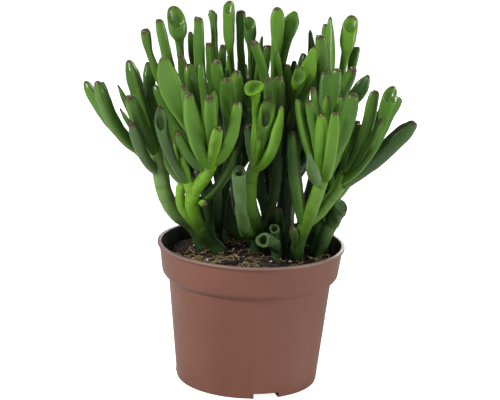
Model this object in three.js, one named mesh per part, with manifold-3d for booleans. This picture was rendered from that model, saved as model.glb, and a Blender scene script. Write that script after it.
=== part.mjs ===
// Trumpet jade (a tubular-leaved jade plant) in a stepped plastic nursery pot.
// Millimetres, +Z up, front of the plant towards -Y. The origin is the middle of the pot's base, on the
// surface that it stands on.
import * as THREE from "three";
import { mergeVertices } from "three/addons/utils/BufferGeometryUtils.js";
import Module from "manifold-3d";

const wasm = await Module();
wasm.setup();

// ---------------------------------------------------------------- driving dimensions

const pot = {
  height: 90,
  lipRadius: 60, // outside of the rim's small outward lip
  lipHeight: 1.8,
  collarTopRadius: 58.7,
  collarFootRadius: 56.6,
  collarFoot: 73, // height where the collar starts to turn in
  shoulder: 67.6, // height where the collar's shoulder meets the body
  shoulderRadius: 52.2,
  baseRadius: 45.4,
  wall: 1.0,
  floorThickness: 1.2,
  baseEdge: 0.9,
  lipEdge: 0.4,
  shoulderStep: 1.3,
  collarEdge: 1,
  notchCount: 3, // drainage recesses round the foot
  notchWidth: 16.5,
  notchHeight: 3.5,
  notchReach: 33, // where a recess ends, from the axis
  notchTurn: 17, // degrees from the front to the first recess, to the right
  sink: 1, // how far a cut runs past what it cuts
  drainRadius: 2.6, // a drain hole in the roof of each recess
  drainCircle: 38,
  drainSides: 10,
  sides: 36,
};

const soil = {
  level: 80, // mean height of the surface
  relief: 1.3, // half the height of its lumps
  gap: 0.35, // clearance to the pot and to the stems
  rings: 3,
  sides: 30,
  holeSides: 8,
};

const foot = {
  buried: 12, // how deep a stem stands in the soil
  clear: 0.8, // a stem stands straight up to this height over the soil
  overlap: 2,
};

const leaf = {
  sides: 6,
  slimSides: 5, // on leaves slimmer than slimWidth
  slimWidth: 9.45,
  spacing: 1.5, // between leaf bases along a stem's end, the lowest for the leaf that spreads most
  spacedLength: 15, // at most
  baseOut: 1.4, // how far off its stem's middle a leaf starts
  rimWidth: 0.24, // of a mouth's rim, as a share of its radius
  uprightReach: 2, // a leaf that reaches out less than this stands straight
  clearance: 0.8, // least space between leaves of different stems
  samples: 17, // points along a spine that are tested for clearance
  rootShare: 0.35, // share of a leaf's length that may touch its own stem and sisters
  ownWeight: 0.25,
  give: 30, // how far a leaf may give way in depth, and in what steps
  giveStep: 2,
  giveCost: 0.03,
  rounds: 3,
};

const limb = { sides: 6, stepsPerPoint: 1.2, dome: 0.5 };

// How a kind of leaf is shaped. girth: [share of its length, share of its full width]. flat: thickness
// over width. slant: how far the mouth is cut back on its open side, in half-widths. cup: depth of the
// mouth, in widths, or below zero the height of a closed tip.
const kinds = {
  finger: {
    flat: 0.88,
    girth: [[0, 0.7], [0.35, 0.92], [0.76, 1], [1, 0.68]],
    slant: 0.25,
    cup: 0.14,
  },
  point: {
    flat: 0.8,
    girth: [[0, 0.66], [0.35, 0.9], [0.72, 1], [1, 0.26]],
    slant: 0,
    cup: -0.06,
  },
  trumpet: {
    flat: 0.9,
    girth: [[0, 0.84], [0.35, 0.92], [0.74, 0.9], [1, 1]],
    slant: 0.5,
    cup: 0.42,
  },
  spoon: {
    flat: 0.84,
    girth: [[0, 0.55], [0.35, 0.5], [0.72, 0.53], [0.88, 1], [1, 0.84]],
    slant: 1.1,
    cup: 0.34,
  },
  cup: {
    flat: 0.94,
    girth: [[0, 0.5], [0.45, 0.46], [0.8, 0.56], [0.92, 0.84], [1, 1]],
    slant: 0.4,
    cup: 0.34,
  },
  gutter: {
    flat: 0.9,
    girth: [[0, 0.6], [0.35, 0.78], [0.72, 1], [1, 0.86]],
    slant: 1.8,
    cup: 0.4,
  },
  paddle: {
    flat: 0.44,
    girth: [[0, 0.4], [0.4, 0.5], [0.62, 0.8], [0.8, 1], [0.95, 0.6], [1, 0.25]],
    slant: 0,
    cup: -0.1,
  },
};

// ---------------------------------------------------------------- the plant

// Points on the plant are written as they are seen from the front, from an eye point before the pot:
// how far across and how far up on the upright plane through the pot's axis, then the depth y, which
// is negative in front of that plane. A point keeps its place in the front view whatever its depth.
const eye = { distance: 1049, height: 380 };

function seen([across, up, y]) {
  const share = (eye.distance + y) / eye.distance;
  return new THREE.Vector3(across * share, y, eye.height + (up - eye.height) * share);
}

// A stem stands at foot [x, y] in the soil. limbs: routes of stem and branches, with the radius at
// either end. tufts: where leaves grow from, from a point at the top of a stretch of limb to one lower
// down, and the leaves there, each [kind, tip, width, bow, facing]. bow: how much the leaf sets off
// sideways before it rises. facing: degrees from the front, to the left, that its open side looks;
// without it, the leaf faces the middle of its own tuft.
const stems = [
  {
    name: "stem_left",
    foot: [-30, 13.5],
    limbs: [
      {
        route: [[-31.5, 90, 12], [-37.5, 99, 8], [-48.3, 107, 1], [-55, 117, -4], [-58.5, 129, -7],
          [-61, 141, -8], [-63, 150, -8]],
        radii: [5, 5.2],
      },
      { route: [[-59, 136, -6], [-66, 142, -5], [-73, 147.5, -6]], radii: [4, 4] },
    ],
    tufts: [
      { at: [-73, 148.5, -6], from: [-64, 141, -6], leaves: [
        ["finger", [-107.5, 190.8, -14], 8.4, 0.1],
        ["finger", [-100, 191, -26], 9.5, 0.14],
        ["finger", [-97.3, 190.8, -4], 7, 0.14],
      ] },
      { at: [-61, 134, -8], from: [-58, 126, -8], leaves: [["finger", [-78.2, 166, -24], 7.6, 0.1]] },
      { at: [-63, 151, -9], from: [-60, 138, -8], leaves: [
        ["finger", [-80.5, 182.5, -32], 10, 0.04],
        ["point", [-87.6, 189, -10], 6, 0.03],
        ["point", [-86, 174, 0], 4.5, 0.05],
        ["finger", [-80.5, 205.3, 0], 10.5, 0.03],
        ["finger", [-68.2, 204.3, 12], 8, 0.08],
      ] },
    ],
  },
  {
    name: "stem_left_front",
    foot: [-20, 4],
    limbs: [
      {
        route: [[-25, 88, 2], [-31.5, 96, -4], [-37, 105, -10], [-39, 115, -15], [-36.5, 124, -19],
          [-31, 131, -23], [-28, 139, -27], [-27, 147, -30]],
        radii: [4.6, 4.2],
      },
      { route: [[-38, 119, -17], [-41, 128, -20]], radii: [4.4, 4] },
      {
        route: [[-32, 97, -7], [-41, 105, -11], [-46, 115, -14], [-45, 126, -16], [-40, 127, -18]],
        radii: [3, 3.2],
      },
    ],
    tufts: [
      { at: [-26.5, 149, -30], from: [-28.5, 137, -26], leaves: [
        ["paddle", [-59.2, 207.8, -40], 15, 0.1, 20],
        ["finger", [-46, 190.4, -44], 6.5, 0.12],
        ["finger", [-43, 185.8, -56], 9.4, 0.16],
        ["finger", [-29.6, 184.5, -46], 7.8, 0.05],
        ["finger", [-26.5, 187.5, -38], 5, 0],
        ["finger", [-64, 190, -26], 7, 0.1],
        ["finger", [-23.2, 164, -58], 7.4, 0],
        ["point", [-28, 168.5, -40], 4.5, 0],
        ["finger", [-12, 181, -46], 8, 0.22],
        ["finger", [-49.2, 161, -26], 8, 0.15],
        ["finger", [-43.8, 204.5, -20], 9, 0.05],
        ["finger", [-35.6, 204.5, -26], 6, 0],
      ] },
      { at: [-41, 129, -20], from: [-37, 120, -17], leaves: [
        ["gutter", [-61, 175.5, -38], 7.8, 0.15, 0],
        ["finger", [-57, 151, -6], 7, 0.2],
        ["point", [-51, 156, -22], 6, 0.1],
        ["point", [-47, 147, -30], 6, 0],
      ] },
      { at: [-36, 116, -14], from: [-36, 106, -9], leaves: [
        ["finger", [-12, 152, -20], 7, 0.15],
        ["finger", [-28.5, 113, -22], 4.5, 0],
      ] },
    ],
  },
  {
    name: "stem_centre_left",
    foot: [-21, 20],
    limbs: [{
      route: [[-22, 92, 15], [-21, 103, 10], [-19.5, 116, 6], [-18, 128, 2], [-16, 142, 0],
        [-14, 155, 0]],
      radii: [3.4, 3.4],
    }],
    tufts: [{ at: [-14, 155, 0], from: [-16, 142, 0], leaves: [
      ["point", [-13, 201, -20], 8.5, 0],
      ["finger", [-19.3, 196, -28], 8.6, 0.05],
      ["finger", [-26, 207.5, -10], 9, 0.1],
      ["point", [-18.7, 210.5, 0], 5.5, 0],
    ] }, { at: [-22, 96, 13], from: [-22, 88, 16], leaves: [["finger", [-22.5, 128, -8], 5.5, 0.05]] }],
  },
  {
    name: "stem_centre_front",
    foot: [4, 8],
    limbs: [
      {
        route: [[4, 92, 5], [3, 101, 0], [-0.6, 111, -6], [-2.2, 121, -10], [-1.6, 132, -14],
          [1, 142, -18]],
        radii: [4.4, 4.2],
      },
      {
        route: [[5, 98, 1], [10.5, 110, 3], [13.5, 123, 5], [14.8, 137, 6], [14.5, 150, 5]],
        radii: [3.4, 3.2],
      },
      { route: [[4, 95, 2], [0, 95.5, -4], [-4.6, 97, -8]], radii: [3.4, 4.2] },
    ],
    tufts: [
      { at: [1, 142, -18], from: [-1, 132, -14], leaves: [
        ["finger", [-5, 167, -18], 6, 0.1],
        ["gutter", [8, 183.5, -44], 9.8, 0.05, 0],
        ["point", [15.8, 179.5, -40], 7.5, 0.2],
        ["cup", [-2.4, 190, -46], 12.4, -0.25, 0],
        ["point", [2.5, 158.5, -38], 4, 0],
      ] },
      { at: [-4, 97, -9], from: [-2, 93, -6], leaves: [["trumpet", [-9.5, 138, -34], 9, 0.1, 0]] },
      { at: [14.5, 150, 5], from: [14.5, 137, 6], leaves: [
        ["finger", [13, 198.5, -12], 8.5, 0],
        ["finger", [6.5, 197.5, 0], 6.5, 0.1],
        ["finger", [-3.6, 220.5, -4], 7, -0.1],
      ] },
    ],
  },
  {
    name: "shoot_front",
    foot: [17, -1],
    limbs: [{
      route: [[17, 87, -1], [18, 96, 0], [18.5, 104, 1]],
      radii: [4, 2.8],
    }],
    tufts: [
      { at: [17, 87, -1], from: [17, 80, -1], leaves: [["trumpet", [7, 91, -18], 9, -0.1, -20]] },
      { at: [17.5, 89, -1], from: [17, 80, -1], leaves: [["trumpet", [14, 100, -14], 6.5, 0, 0]] },
      { at: [18, 100, 1], from: [17, 87, -1], leaves: [["finger", [16, 114, -8], 5, 0]] },
    ],
  },
  {
    name: "stem_centre_right",
    foot: [19, 24],
    limbs: [
      {
        route: [[20, 94, 20], [20, 108, 16], [20.5, 125, 14], [21, 145, 13], [21, 160, 12],
          [20, 172, 12]],
        radii: [4.8, 4.4],
      },
      { route: [[20.5, 156, 12], [15.5, 168, 10], [11, 179, 8]], radii: [3.6, 3.4] },
    ],
    tufts: [{ at: [11, 180, 8], from: [15.5, 168, 10], leaves: [
      ["finger", [10.8, 241.5, 2], 9.3, 0, 0],
      ["paddle", [22.2, 239, 14], 10.2, -0.16, 0],
    ] }, { at: [20, 172, 12], from: [21, 160, 12], leaves: [
      ["paddle", [34.4, 216.5, -12], 10.5, 0.06, 10],
      ["spoon", [26.3, 203, -16], 8.6, 0.03, 0],
      ["finger", [11, 214, -8], 5, 0],
      ["finger", [18, 206.4, 6], 7, 0],
      ["finger", [22.7, 208.5, 18], 5.4, 0],
      ["finger", [28.2, 213.5, 22], 6.8, 0.1],
    ] }, { at: [21, 134, 14], from: [20.5, 122, 14], leaves: [
      ["finger", [28, 172, 6], 7, 0.12],
      ["finger", [14, 176, 18], 6.5, 0.12],
    ] }],
  },
  {
    name: "stem_right_front",
    foot: [29, -3],
    limbs: [
      {
        route: [[30, 89, -5], [31.5, 96, -8], [34.5, 104, -12], [38, 114, -17], [41, 124, -20],
          [43.5, 133, -23], [45.5, 141, -26]],
        radii: [4.6, 4],
      },
      {
        route: [[34.5, 103, -10], [41, 109, -8], [48, 118, -8], [54.5, 129, -10], [57, 136, -11]],
        radii: [3.6, 4],
      },
    ],
    tufts: [
      { at: [29.5, 86, -4], from: [29, 80, -4], leaves: [["finger", [26, 101.5, -16], 5.5, 0]] },
      { at: [34, 103, -11], from: [31.5, 96, -8], leaves: [["finger", [23, 164.5, -20], 8.8, 0.08]] },
      { at: [46, 143, -26], from: [43, 131, -22], leaves: [
        ["point", [34.4, 150.5, -40], 8.4, 0.14],
        ["point", [41.3, 175.5, -54], 8, 0.14],
        ["finger", [49.5, 177, -48], 7.6, 0.25],
        ["finger", [60.4, 189, -36], 9.2, 0.1, 0],
        ["finger", [25.5, 184.5, -38], 6.5, 0.1],
        ["finger", [32.5, 184, -44], 6, 0],
        ["finger", [35.5, 192.5, -26], 7, 0.05],
        ["finger", [44, 187.5, -36], 6, 0],
        ["finger", [52, 187.5, -28], 6, 0.1],
        ["finger", [42.3, 203, -16], 8, 0],
        ["finger", [49, 205, -20], 7.5, 0.05],
      ] },
      { at: [57, 137, -11], from: [52, 125, -9], leaves: [
        ["finger", [100.6, 172.6, -30], 11.4, 0.025, 10],
        ["spoon", [84.4, 194.2, -18], 9.2, 0.16, 20],
        ["cup", [87.2, 187.2, -32], 9, 0.14, 60],
        ["finger", [73.3, 192.4, -12], 9, 0.15],
        ["point", [79.8, 187.5, -4], 5.6, 0.12],
        ["finger", [79, 174, -30], 6.6, 0.1],
        ["finger", [65.5, 170, 4], 7, 0.05],
      ] },
    ],
  },
  {
    name: "stem_right_back",
    foot: [44, 3],
    limbs: [{
      route: [[45.5, 91, 3], [48, 99, 4], [50, 104, 6]],
      radii: [4.4, 5],
    }],
    tufts: [{ at: [49.5, 103, 5], from: [47, 96, 4], leaves: [
      ["trumpet", [57.2, 119.5, 2], 11.6, 0, -60],
      ["finger", [52.5, 130, 20], 7.5, 0.1],
      ["finger", [40, 140, 20], 8, 0.1],
    ] }],
  },
  {
    name: "stem_back_left",
    foot: [-19, 34],
    limbs: [{
      route: [[-24, 98, 32], [-28.6, 119, 27], [-34, 140, 20], [-39, 158, 16], [-42, 173, 13]],
      radii: [4.8, 4.4],
    }],
    tufts: [{ at: [-42, 174, 13], from: [-39, 159, 16], leaves: [
      ["finger", [-71.2, 224.6, 6], 6.4, 0.15, 0],
      ["finger", [-62.3, 231.6, 0], 7.2, 0.1],
      ["spoon", [-53.3, 238.6, 0], 12, -0.02, -20],
      ["finger", [-48.3, 209.5, -6], 6.5, 0],
    ] }, { at: [-33.5, 138, 20], from: [-28, 120, 26], leaves: [
      ["finger", [-50, 176, 26], 7.5, 0.15],
      ["finger", [-28, 168, 30], 7, 0.12],
    ] }],
  },
  {
    name: "stem_back_middle",
    foot: [-3, 36],
    limbs: [{
      route: [[-12, 100, 33], [-19.5, 124, 27], [-23.5, 148, 20], [-25, 170, 15]],
      radii: [4.8, 4.2],
    }],
    tufts: [{ at: [-25, 171, 15], from: [-24, 152, 19], leaves: [
      ["finger", [-37.9, 234, 8], 7.8, 0.26],
      ["finger", [-42.8, 224, 16], 6.4, 0.15],
      ["finger", [-30.3, 239, 16], 6.8, -0.25],
      ["finger", [-31.3, 217.5, -2], 6, 0],
      ["finger", [-22.4, 217, 6], 5.6, 0],
    ] }, { at: [-20, 131, 25], from: [-17, 116, 29], leaves: [
      ["finger", [-26, 164, 34], 7, 0.15],
      ["finger", [-8, 166, 30], 7, 0.12],
      ["finger", [-11, 158, 42], 8, 0.3],
    ] }],
  },
  {
    name: "stem_back_tall",
    foot: [11, 38],
    limbs: [
      {
        route: [[10.8, 104, 35], [8.6, 114, 33], [4.4, 126, 31], [0.6, 150, 25], [-3, 176, 20]],
        radii: [4.6, 4.2],
      },
      { route: [[8.5, 98, 36], [11.5, 118, 34], [10, 142, 32], [8, 164, 30]], radii: [3.6, 3.6] },
    ],
    tufts: [{ at: [-3, 176, 20], from: [-1, 162, 23], leaves: [
      ["spoon", [-19.4, 243.9, 12], 7.8, 0.26, 10],
      ["finger", [-12.2, 238.6, 20], 6.4, 0.25, 0],
      ["spoon", [-6.5, 234, 10], 7.6, 0, 0],
      ["point", [2, 223, 14], 4.5, 0],
      ["finger", [-2, 213, 30], 7.5, 0.1],
      ["finger", [5.2, 218, 18], 8, 0.05],
    ] }, { at: [3.4, 132, 29], from: [6, 118, 32], leaves: [
      ["finger", [-3, 172, 36], 7, 0.15],
      ["finger", [13, 168, 34], 7, 0.12],
    ] }],
  },
  {
    name: "stem_back_right",
    foot: [31, 30],
    limbs: [{
      route: [[32, 98, 29], [36, 120, 25], [41, 144, 17], [46, 167, 9]],
      radii: [4.8, 4.2],
    }],
    tufts: [{ at: [46, 167, 9], from: [42, 148, 16], leaves: [
      ["finger", [37.9, 225.8, 4], 8.5, 0.05],
      ["point", [43.4, 236.8, 10], 8.5, 0],
      ["finger", [40.6, 232.3, 20], 6, 0.1],
      ["point", [31.4, 228, 24], 7.6, 0.08],
      ["spoon", [57.1, 237.9, 0], 10.3, 0.05, 0],
      ["finger", [61.2, 219.5, 8], 6.5, 0.05],
      ["finger", [59.9, 205.5, -6], 8.6, -0.06],
      ["paddle", [69.6, 201, 12], 10, 0, -20],
    ] }, { at: [39.5, 134, 21], from: [36, 120, 25], leaves: [
      ["finger", [33, 170, 32], 7, 0.12],
      ["finger", [53, 168, 24], 7, 0.12],
    ] }],
  },
];

// Stems at the back, leafy all round: the stem's foot and top, how many leaves, how far they reach out and
// up, and the direction of the lowest one, in degrees.
const rearStems = [
  {
    name: "stem_rear_left",
    foot: [-34, 29],
    top: [-52, 42, 146],
    leaves: 10,
    reach: 25,
    rise: 44,
    turn: 20,
  },
  {
    name: "stem_rear_middle",
    foot: [-9, 45],
    top: [-16, 54, 156],
    leaves: 11,
    reach: 23,
    rise: 40,
    turn: 75,
  },
  {
    name: "stem_rear_right",
    foot: [23, 39.5],
    top: [28, 52, 150],
    leaves: 11,
    reach: 26,
    rise: 42,
    turn: 130,
  },
  {
    name: "stem_rear_side",
    foot: [42.5, 17.5],
    top: [56, 34, 135],
    leaves: 10,
    reach: 18,
    rise: 40,
    turn: 60,
  },
];

const rearLeaf = {
  kinds: ["finger", "trumpet", "finger", "spoon", "finger"],
  widths: [8.5, 7, 9.5, 8, 7.5],
  bow: 0.16,
  spacing: 3.8, // between leaf bases along the stem
  goldenAngle: 137.5,
  follow: 0.5, // how far a leaf's tip sinks with its base, as a share
  low: 0.85, // share of the rise that the outer leaves have
  inner: 0.3, // share of the reach that the innermost leaf has
  stemRadii: [4.8, 4.4],
  kinkHeight: 98, // a rear stem rises nearly straight to here
  kinkLean: 0.1,
};

// ---------------------------------------------------------------- solids

const up = new THREE.Vector3(0, 0, 1);
const eyePoint = new THREE.Vector3(0, -eye.distance, eye.height);
const radians = THREE.MathUtils.degToRad;

function solidOf(geometry) {
  geometry.deleteAttribute("normal");
  geometry.deleteAttribute("uv");
  const merged = mergeVertices(geometry, 1e-4);
  const mesh = new wasm.Mesh({
    numProp: 3,
    vertProperties: new Float32Array(merged.attributes.position.array),
    triVerts: new Uint32Array(merged.index.array),
  });
  return new wasm.Manifold(mesh);
}

function meshOf(name, solid, look) {
  const { vertProperties, triVerts } = solid.getMesh();
  const geometry = new THREE.BufferGeometry();
  geometry.setAttribute("position", new THREE.BufferAttribute(vertProperties, 3));
  geometry.setIndex(new THREE.BufferAttribute(triVerts, 1));
  geometry.computeVertexNormals();
  const mesh = new THREE.Mesh(geometry, new THREE.MeshStandardMaterial(look));
  mesh.name = name;
  return mesh;
}

function joined(solids) {
  return solids.reduce((whole, piece) => whole.add(piece));
}

// A closed skin over rings of points, all with the same number of points, closed by a point at either end.
function skin(first, rings, last) {
  const sides = rings[0].length;
  const points = [first, ...rings.flat(), last];
  const faces = [];
  for (let side = 0; side < sides; side++) {
    const next = (side + 1) % sides;
    faces.push(0, 1 + next, 1 + side);
    for (let ring = 0; ring + 1 < rings.length; ring++) {
      const low = 1 + ring * sides;
      const high = low + sides;
      faces.push(low + side, low + next, high + next);
      faces.push(low + side, high + next, high + side);
    }
    const top = 1 + (rings.length - 1) * sides;
    faces.push(top + side, top + next, points.length - 1);
  }
  const geometry = new THREE.BufferGeometry();
  const numbers = points.flatMap((point) => point.toArray());
  geometry.setAttribute("position", new THREE.Float32BufferAttribute(numbers, 3));
  geometry.setIndex(faces);
  return geometry;
}

function ringAt(centre, across, out, halfWidth, halfThickness, sides) {
  return Array.from({ length: sides }, (_, side) => {
    const angle = (2 * Math.PI * side) / sides;
    return centre.clone()
      .addScaledVector(out, halfThickness * Math.cos(angle))
      .addScaledVector(across, halfWidth * Math.sin(angle));
  });
}

// ---------------------------------------------------------------- stems and branches

function limbSolid(curve, radii, steps) {
  const rings = [];
  let out = new THREE.Vector3(0, -1, 0);
  for (let step = 0; step <= steps; step++) {
    const along = step / steps;
    const tangent = curve.getTangent(along);
    out = out.clone().addScaledVector(tangent, -out.dot(tangent)).normalize();
    const across = new THREE.Vector3().crossVectors(tangent, out);
    const radius = THREE.MathUtils.lerp(radii[0], radii[1], along);
    rings.push(ringAt(curve.getPoint(along), across, out, radius, radius, limb.sides));
  }
  const start = curve.getPoint(0);
  const end = curve.getPoint(1).addScaledVector(curve.getTangent(1), radii[1] * limb.dome);
  return solidOf(skin(start, rings, end));
}

// ---------------------------------------------------------------- leaves

function shareOfWidth(girth, along) {
  const next = Math.max(1, girth.findIndex(([place]) => place >= along));
  const [place0, share0] = girth[next - 1];
  const [place1, share1] = girth[next];
  return share0 + ((share1 - share0) * (along - place0)) / (place1 - place0);
}

// A leaf's spine: from its tuft it sets off sideways, then rises to its tip.
function spineOf(base, tip, bow) {
  const way = tip.clone().sub(base);
  const rise = up.clone().multiplyScalar(way.z);
  const aside = way.clone().sub(rise);
  const bends = [1 / 3, 2 / 3].map((place) => base.clone()
    .addScaledVector(aside, place + bow)
    .addScaledVector(rise, place - bow));
  return new THREE.CubicBezierCurve3(base, bends[0], bends[1], tip);
}

function leafSolid({ kind, base, tip, width, bow, facing }) {
  const form = kinds[kind];
  const spine = spineOf(base, tip, bow);
  const sides = width < leaf.slimWidth ? leaf.slimSides : leaf.sides;
  const outward = tip.clone().sub(base).setZ(0);
  if (outward.length() < leaf.uprightReach) outward.set(0, 1, 0);
  outward.normalize();
  const flank = new THREE.Vector3().crossVectors(up, outward).normalize();
  const open = facing === undefined
    ? outward.clone().negate()
    : new THREE.Vector3(-Math.sin(radians(facing)), -Math.cos(radians(facing)), 0);
  const innerAt = (along) => new THREE.Vector3().crossVectors(spine.getTangent(along), flank).normalize();
  const endTangent = spine.getTangent(1);
  const wanted = open.clone().addScaledVector(endTangent, -open.dot(endTangent)).normalize();
  const natural = innerAt(1);
  const twist = Math.atan2(
    new THREE.Vector3().crossVectors(natural, wanted).dot(endTangent),
    natural.dot(wanted),
  );
  const rings = form.girth.map(([along, share]) => {
    const tangent = spine.getTangent(along);
    const turn = twist * THREE.MathUtils.smoothstep(along, 0.1, 0.85);
    const out = innerAt(along).applyAxisAngle(tangent, turn);
    const across = new THREE.Vector3().crossVectors(tangent, out);
    const halfWidth = (width / 2) * share;
    const flat = THREE.MathUtils.lerp(1, form.flat, THREE.MathUtils.smoothstep(along, 0, 0.7));
    const cutBack = form.slant * (width / 2) * THREE.MathUtils.smoothstep(along, 0.55, 1);
    const ring = ringAt(spine.getPoint(along), across, out, halfWidth, halfWidth * flat, sides);
    return ring.map((point, side) => {
      const openness = (1 + Math.cos((2 * Math.PI * side) / sides)) / 2;
      return point.addScaledVector(tangent, -cutBack * openness);
    });
  });
  const rim = rings[rings.length - 1];
  const middle = rim.reduce((sum, point) => sum.add(point), new THREE.Vector3()).divideScalar(rim.length);
  const bottom = middle.clone().addScaledVector(endTangent, -form.cup * width);
  if (form.cup > 0) {
    rings.push(rim.map((point) => point.clone().lerp(middle, leaf.rimWidth)));
  }
  return solidOf(skin(spine.getPoint(0), rings, bottom));
}

// ---------------------------------------------------------------- placing the leaves

// The leaves of a tuft sit one below the other on the stem, those that spread most lowest.
function rooted(top, below, leaves, spacing) {
  const down = below.clone().sub(top).normalize();
  const spread = (one) => Math.hypot(one.tip.x - top.x, one.tip.y - top.y) / (one.tip.z - top.z);
  const order = [...leaves].sort((one, other) => spread(one) - spread(other));
  return leaves.map((one) => {
    const outward = one.tip.clone().sub(top).setZ(0).normalize();
    const base = top.clone()
      .addScaledVector(down, order.indexOf(one) * spacing)
      .addScaledVector(outward, leaf.baseOut);
    return { ...one, base };
  });
}

function handPlaced(stem) {
  return stem.tufts.flatMap(({ at, from, leaves }) => {
    const entries = leaves.map(([kind, tip, width, bow, facing]) => (
      { stem: stem.name, kind, tip: seen(tip), width, bow, facing }
    ));
    const spacing = Math.min(leaf.spacing, leaf.spacedLength / leaves.length);
    return rooted(seen(at), seen(from), entries, spacing);
  });
}

function placedByRule(stem) {
  const top = new THREE.Vector3(...stem.top);
  const below = new THREE.Vector3(...stem.foot, rearLeaf.kinkHeight);
  const entries = Array.from({ length: stem.leaves }, (_, count) => {
    const angle = radians(stem.turn + rearLeaf.goldenAngle * count);
    const outer = 1 - count / (stem.leaves - 1);
    const reach = stem.reach * THREE.MathUtils.lerp(rearLeaf.inner, 1, outer);
    const rise = stem.rise * THREE.MathUtils.lerp(1, rearLeaf.low, outer);
    const sink = outer * (stem.leaves - 1) * rearLeaf.spacing * rearLeaf.follow;
    const tip = top.clone()
      .add(new THREE.Vector3(Math.cos(angle) * reach, Math.sin(angle) * reach, rise - sink));
    const kind = rearLeaf.kinds[count % rearLeaf.kinds.length];
    const width = rearLeaf.widths[count % rearLeaf.widths.length];
    return { stem: stem.name, kind, tip, width, bow: rearLeaf.bow };
  });
  return rooted(top, below, entries, rearLeaf.spacing);
}

// Balls along a spine, that stand for its body where space between bodies is tested.
function ballsOf(spine, radiusAt, count) {
  return Array.from({ length: count }, (_, step) => {
    const along = step / (count - 1);
    return { centre: spine.getPoint(along), radius: radiusAt(along), along };
  });
}

function leafBalls({ kind, base, tip, width, bow }) {
  const { girth } = kinds[kind];
  const radiusAt = (along) => (width / 2) * shareOfWidth(girth, along);
  return ballsOf(spineOf(base, tip, bow), radiusAt, leaf.samples);
}

// How badly balls press into the others. Bodies of one stem may touch near their common root.
function pressure(stem, balls, others) {
  let sum = 0;
  for (const other of others) {
    const own = other.stem === stem;
    for (const ball of balls) {
      if (own && ball.along < leaf.rootShare) continue;
      for (const rival of other.balls) {
        if (own && rival.along < leaf.rootShare) continue;
        const reach = ball.radius + rival.radius + (own ? 0 : leaf.clearance);
        const apart = ball.centre.distanceTo(rival.centre);
        if (apart < reach) sum += (reach - apart) * (own ? leaf.ownWeight : 1);
      }
    }
  }
  return sum;
}

// Leaves give way to each other in depth, along the line of sight, so that bodies of different stems stay
// clear and leaves of one stem cross as little as they can.
function settle(leaves, limbBodies) {
  const bodies = leaves.map((one) => ({ stem: one.stem, balls: leafBalls(one) }));
  for (let round = 0; round < leaf.rounds; round++) {
    leaves.forEach((one, index) => {
      const others = [...limbBodies, ...bodies.filter((_, other) => other !== index)];
      const sight = one.tip.clone().sub(eyePoint).normalize();
      let best = { cost: Infinity };
      for (let step = 0; step <= leaf.give; step += leaf.giveStep) {
        for (const push of step ? [-step, step] : [0]) {
          const tip = one.tip.clone().addScaledVector(sight, push);
          const balls = leafBalls({ ...one, tip });
          const cost = pressure(one.stem, balls, others) + step * leaf.giveCost;
          if (cost < best.cost) best = { cost, tip, balls };
        }
        if (best.cost <= (step + leaf.giveStep) * leaf.giveCost) break;
      }
      one.tip = best.tip;
      bodies[index].balls = best.balls;
    });
  }
}

// ---------------------------------------------------------------- pot and soil

function turned(profile, sides) {
  const points = profile.map(([radius, height]) => new THREE.Vector2(radius, height));
  return new THREE.LatheGeometry(points, sides).rotateX(Math.PI / 2);
}

function innerRadius(height) {
  const { wall, shoulder, collarFoot } = pot;
  const spans = [
    [0, pot.baseRadius, shoulder, pot.shoulderRadius],
    [shoulder, pot.shoulderRadius, collarFoot, pot.collarFootRadius],
    [collarFoot, pot.collarFootRadius, pot.height, pot.collarTopRadius],
  ];
  const [low, lowRadius, high, highRadius] = spans.find((span) => height <= span[2]);
  return THREE.MathUtils.mapLinear(height, low, high, lowRadius, highRadius) - wall;
}

// A block across a drainage recess in the pot's foot, grown by some clearance.
function recessBlocks(grow, height) {
  const inner = pot.notchReach - grow;
  const length = pot.lipRadius - inner;
  return Array.from({ length: pot.notchCount }, (_, count) => {
    const turn = radians(pot.notchTurn) + (2 * Math.PI * count) / pot.notchCount;
    const block = new THREE.BoxGeometry(pot.notchWidth + 2 * grow, length, height + pot.sink);
    block.translate(0, -inner - length / 2, (height - pot.sink) / 2);
    return solidOf(block.rotateZ(turn));
  });
}

function drainHoles() {
  return Array.from({ length: pot.notchCount }, (_, count) => {
    const turn = radians(pot.notchTurn) + (2 * Math.PI * count) / pot.notchCount;
    const hole = new THREE.CylinderGeometry(pot.drainRadius, pot.drainRadius, pot.shoulder, pot.drainSides);
    return solidOf(hole.rotateX(Math.PI / 2).translate(0, -pot.drainCircle, 0).rotateZ(turn));
  });
}

function potSolid() {
  const { baseRadius, baseEdge, shoulder, collarFoot, height, lipHeight, lipRadius, wall } = pot;
  const outside = solidOf(turned([
    [0, 0],
    [baseRadius - baseEdge, 0],
    [baseRadius, baseEdge],
    [pot.shoulderRadius, shoulder],
    [pot.shoulderRadius + pot.shoulderStep, shoulder],
    [pot.collarFootRadius - pot.collarEdge, collarFoot - 2 * pot.collarEdge],
    [pot.collarFootRadius, collarFoot],
    [pot.collarTopRadius, height - lipHeight],
    [lipRadius - pot.lipEdge, height - lipHeight],
    [lipRadius, height - lipHeight + pot.lipEdge],
    [lipRadius, height - pot.lipEdge],
    [lipRadius - pot.lipEdge, height],
    [0, height],
  ], pot.sides));
  const inside = solidOf(turned([
    [0, pot.floorThickness],
    [innerRadius(pot.floorThickness), pot.floorThickness],
    [innerRadius(shoulder), shoulder],
    [innerRadius(collarFoot), collarFoot],
    [innerRadius(height), height],
    [innerRadius(height), height + wall],
    [0, height + wall],
  ], pot.sides));
  const roofs = joined(recessBlocks(wall, pot.notchHeight + wall)).intersect(outside);
  const shell = outside.subtract(inside).add(roofs);
  return shell.subtract(joined(recessBlocks(0, pot.notchHeight))).subtract(joined(drainHoles()));
}

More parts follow.
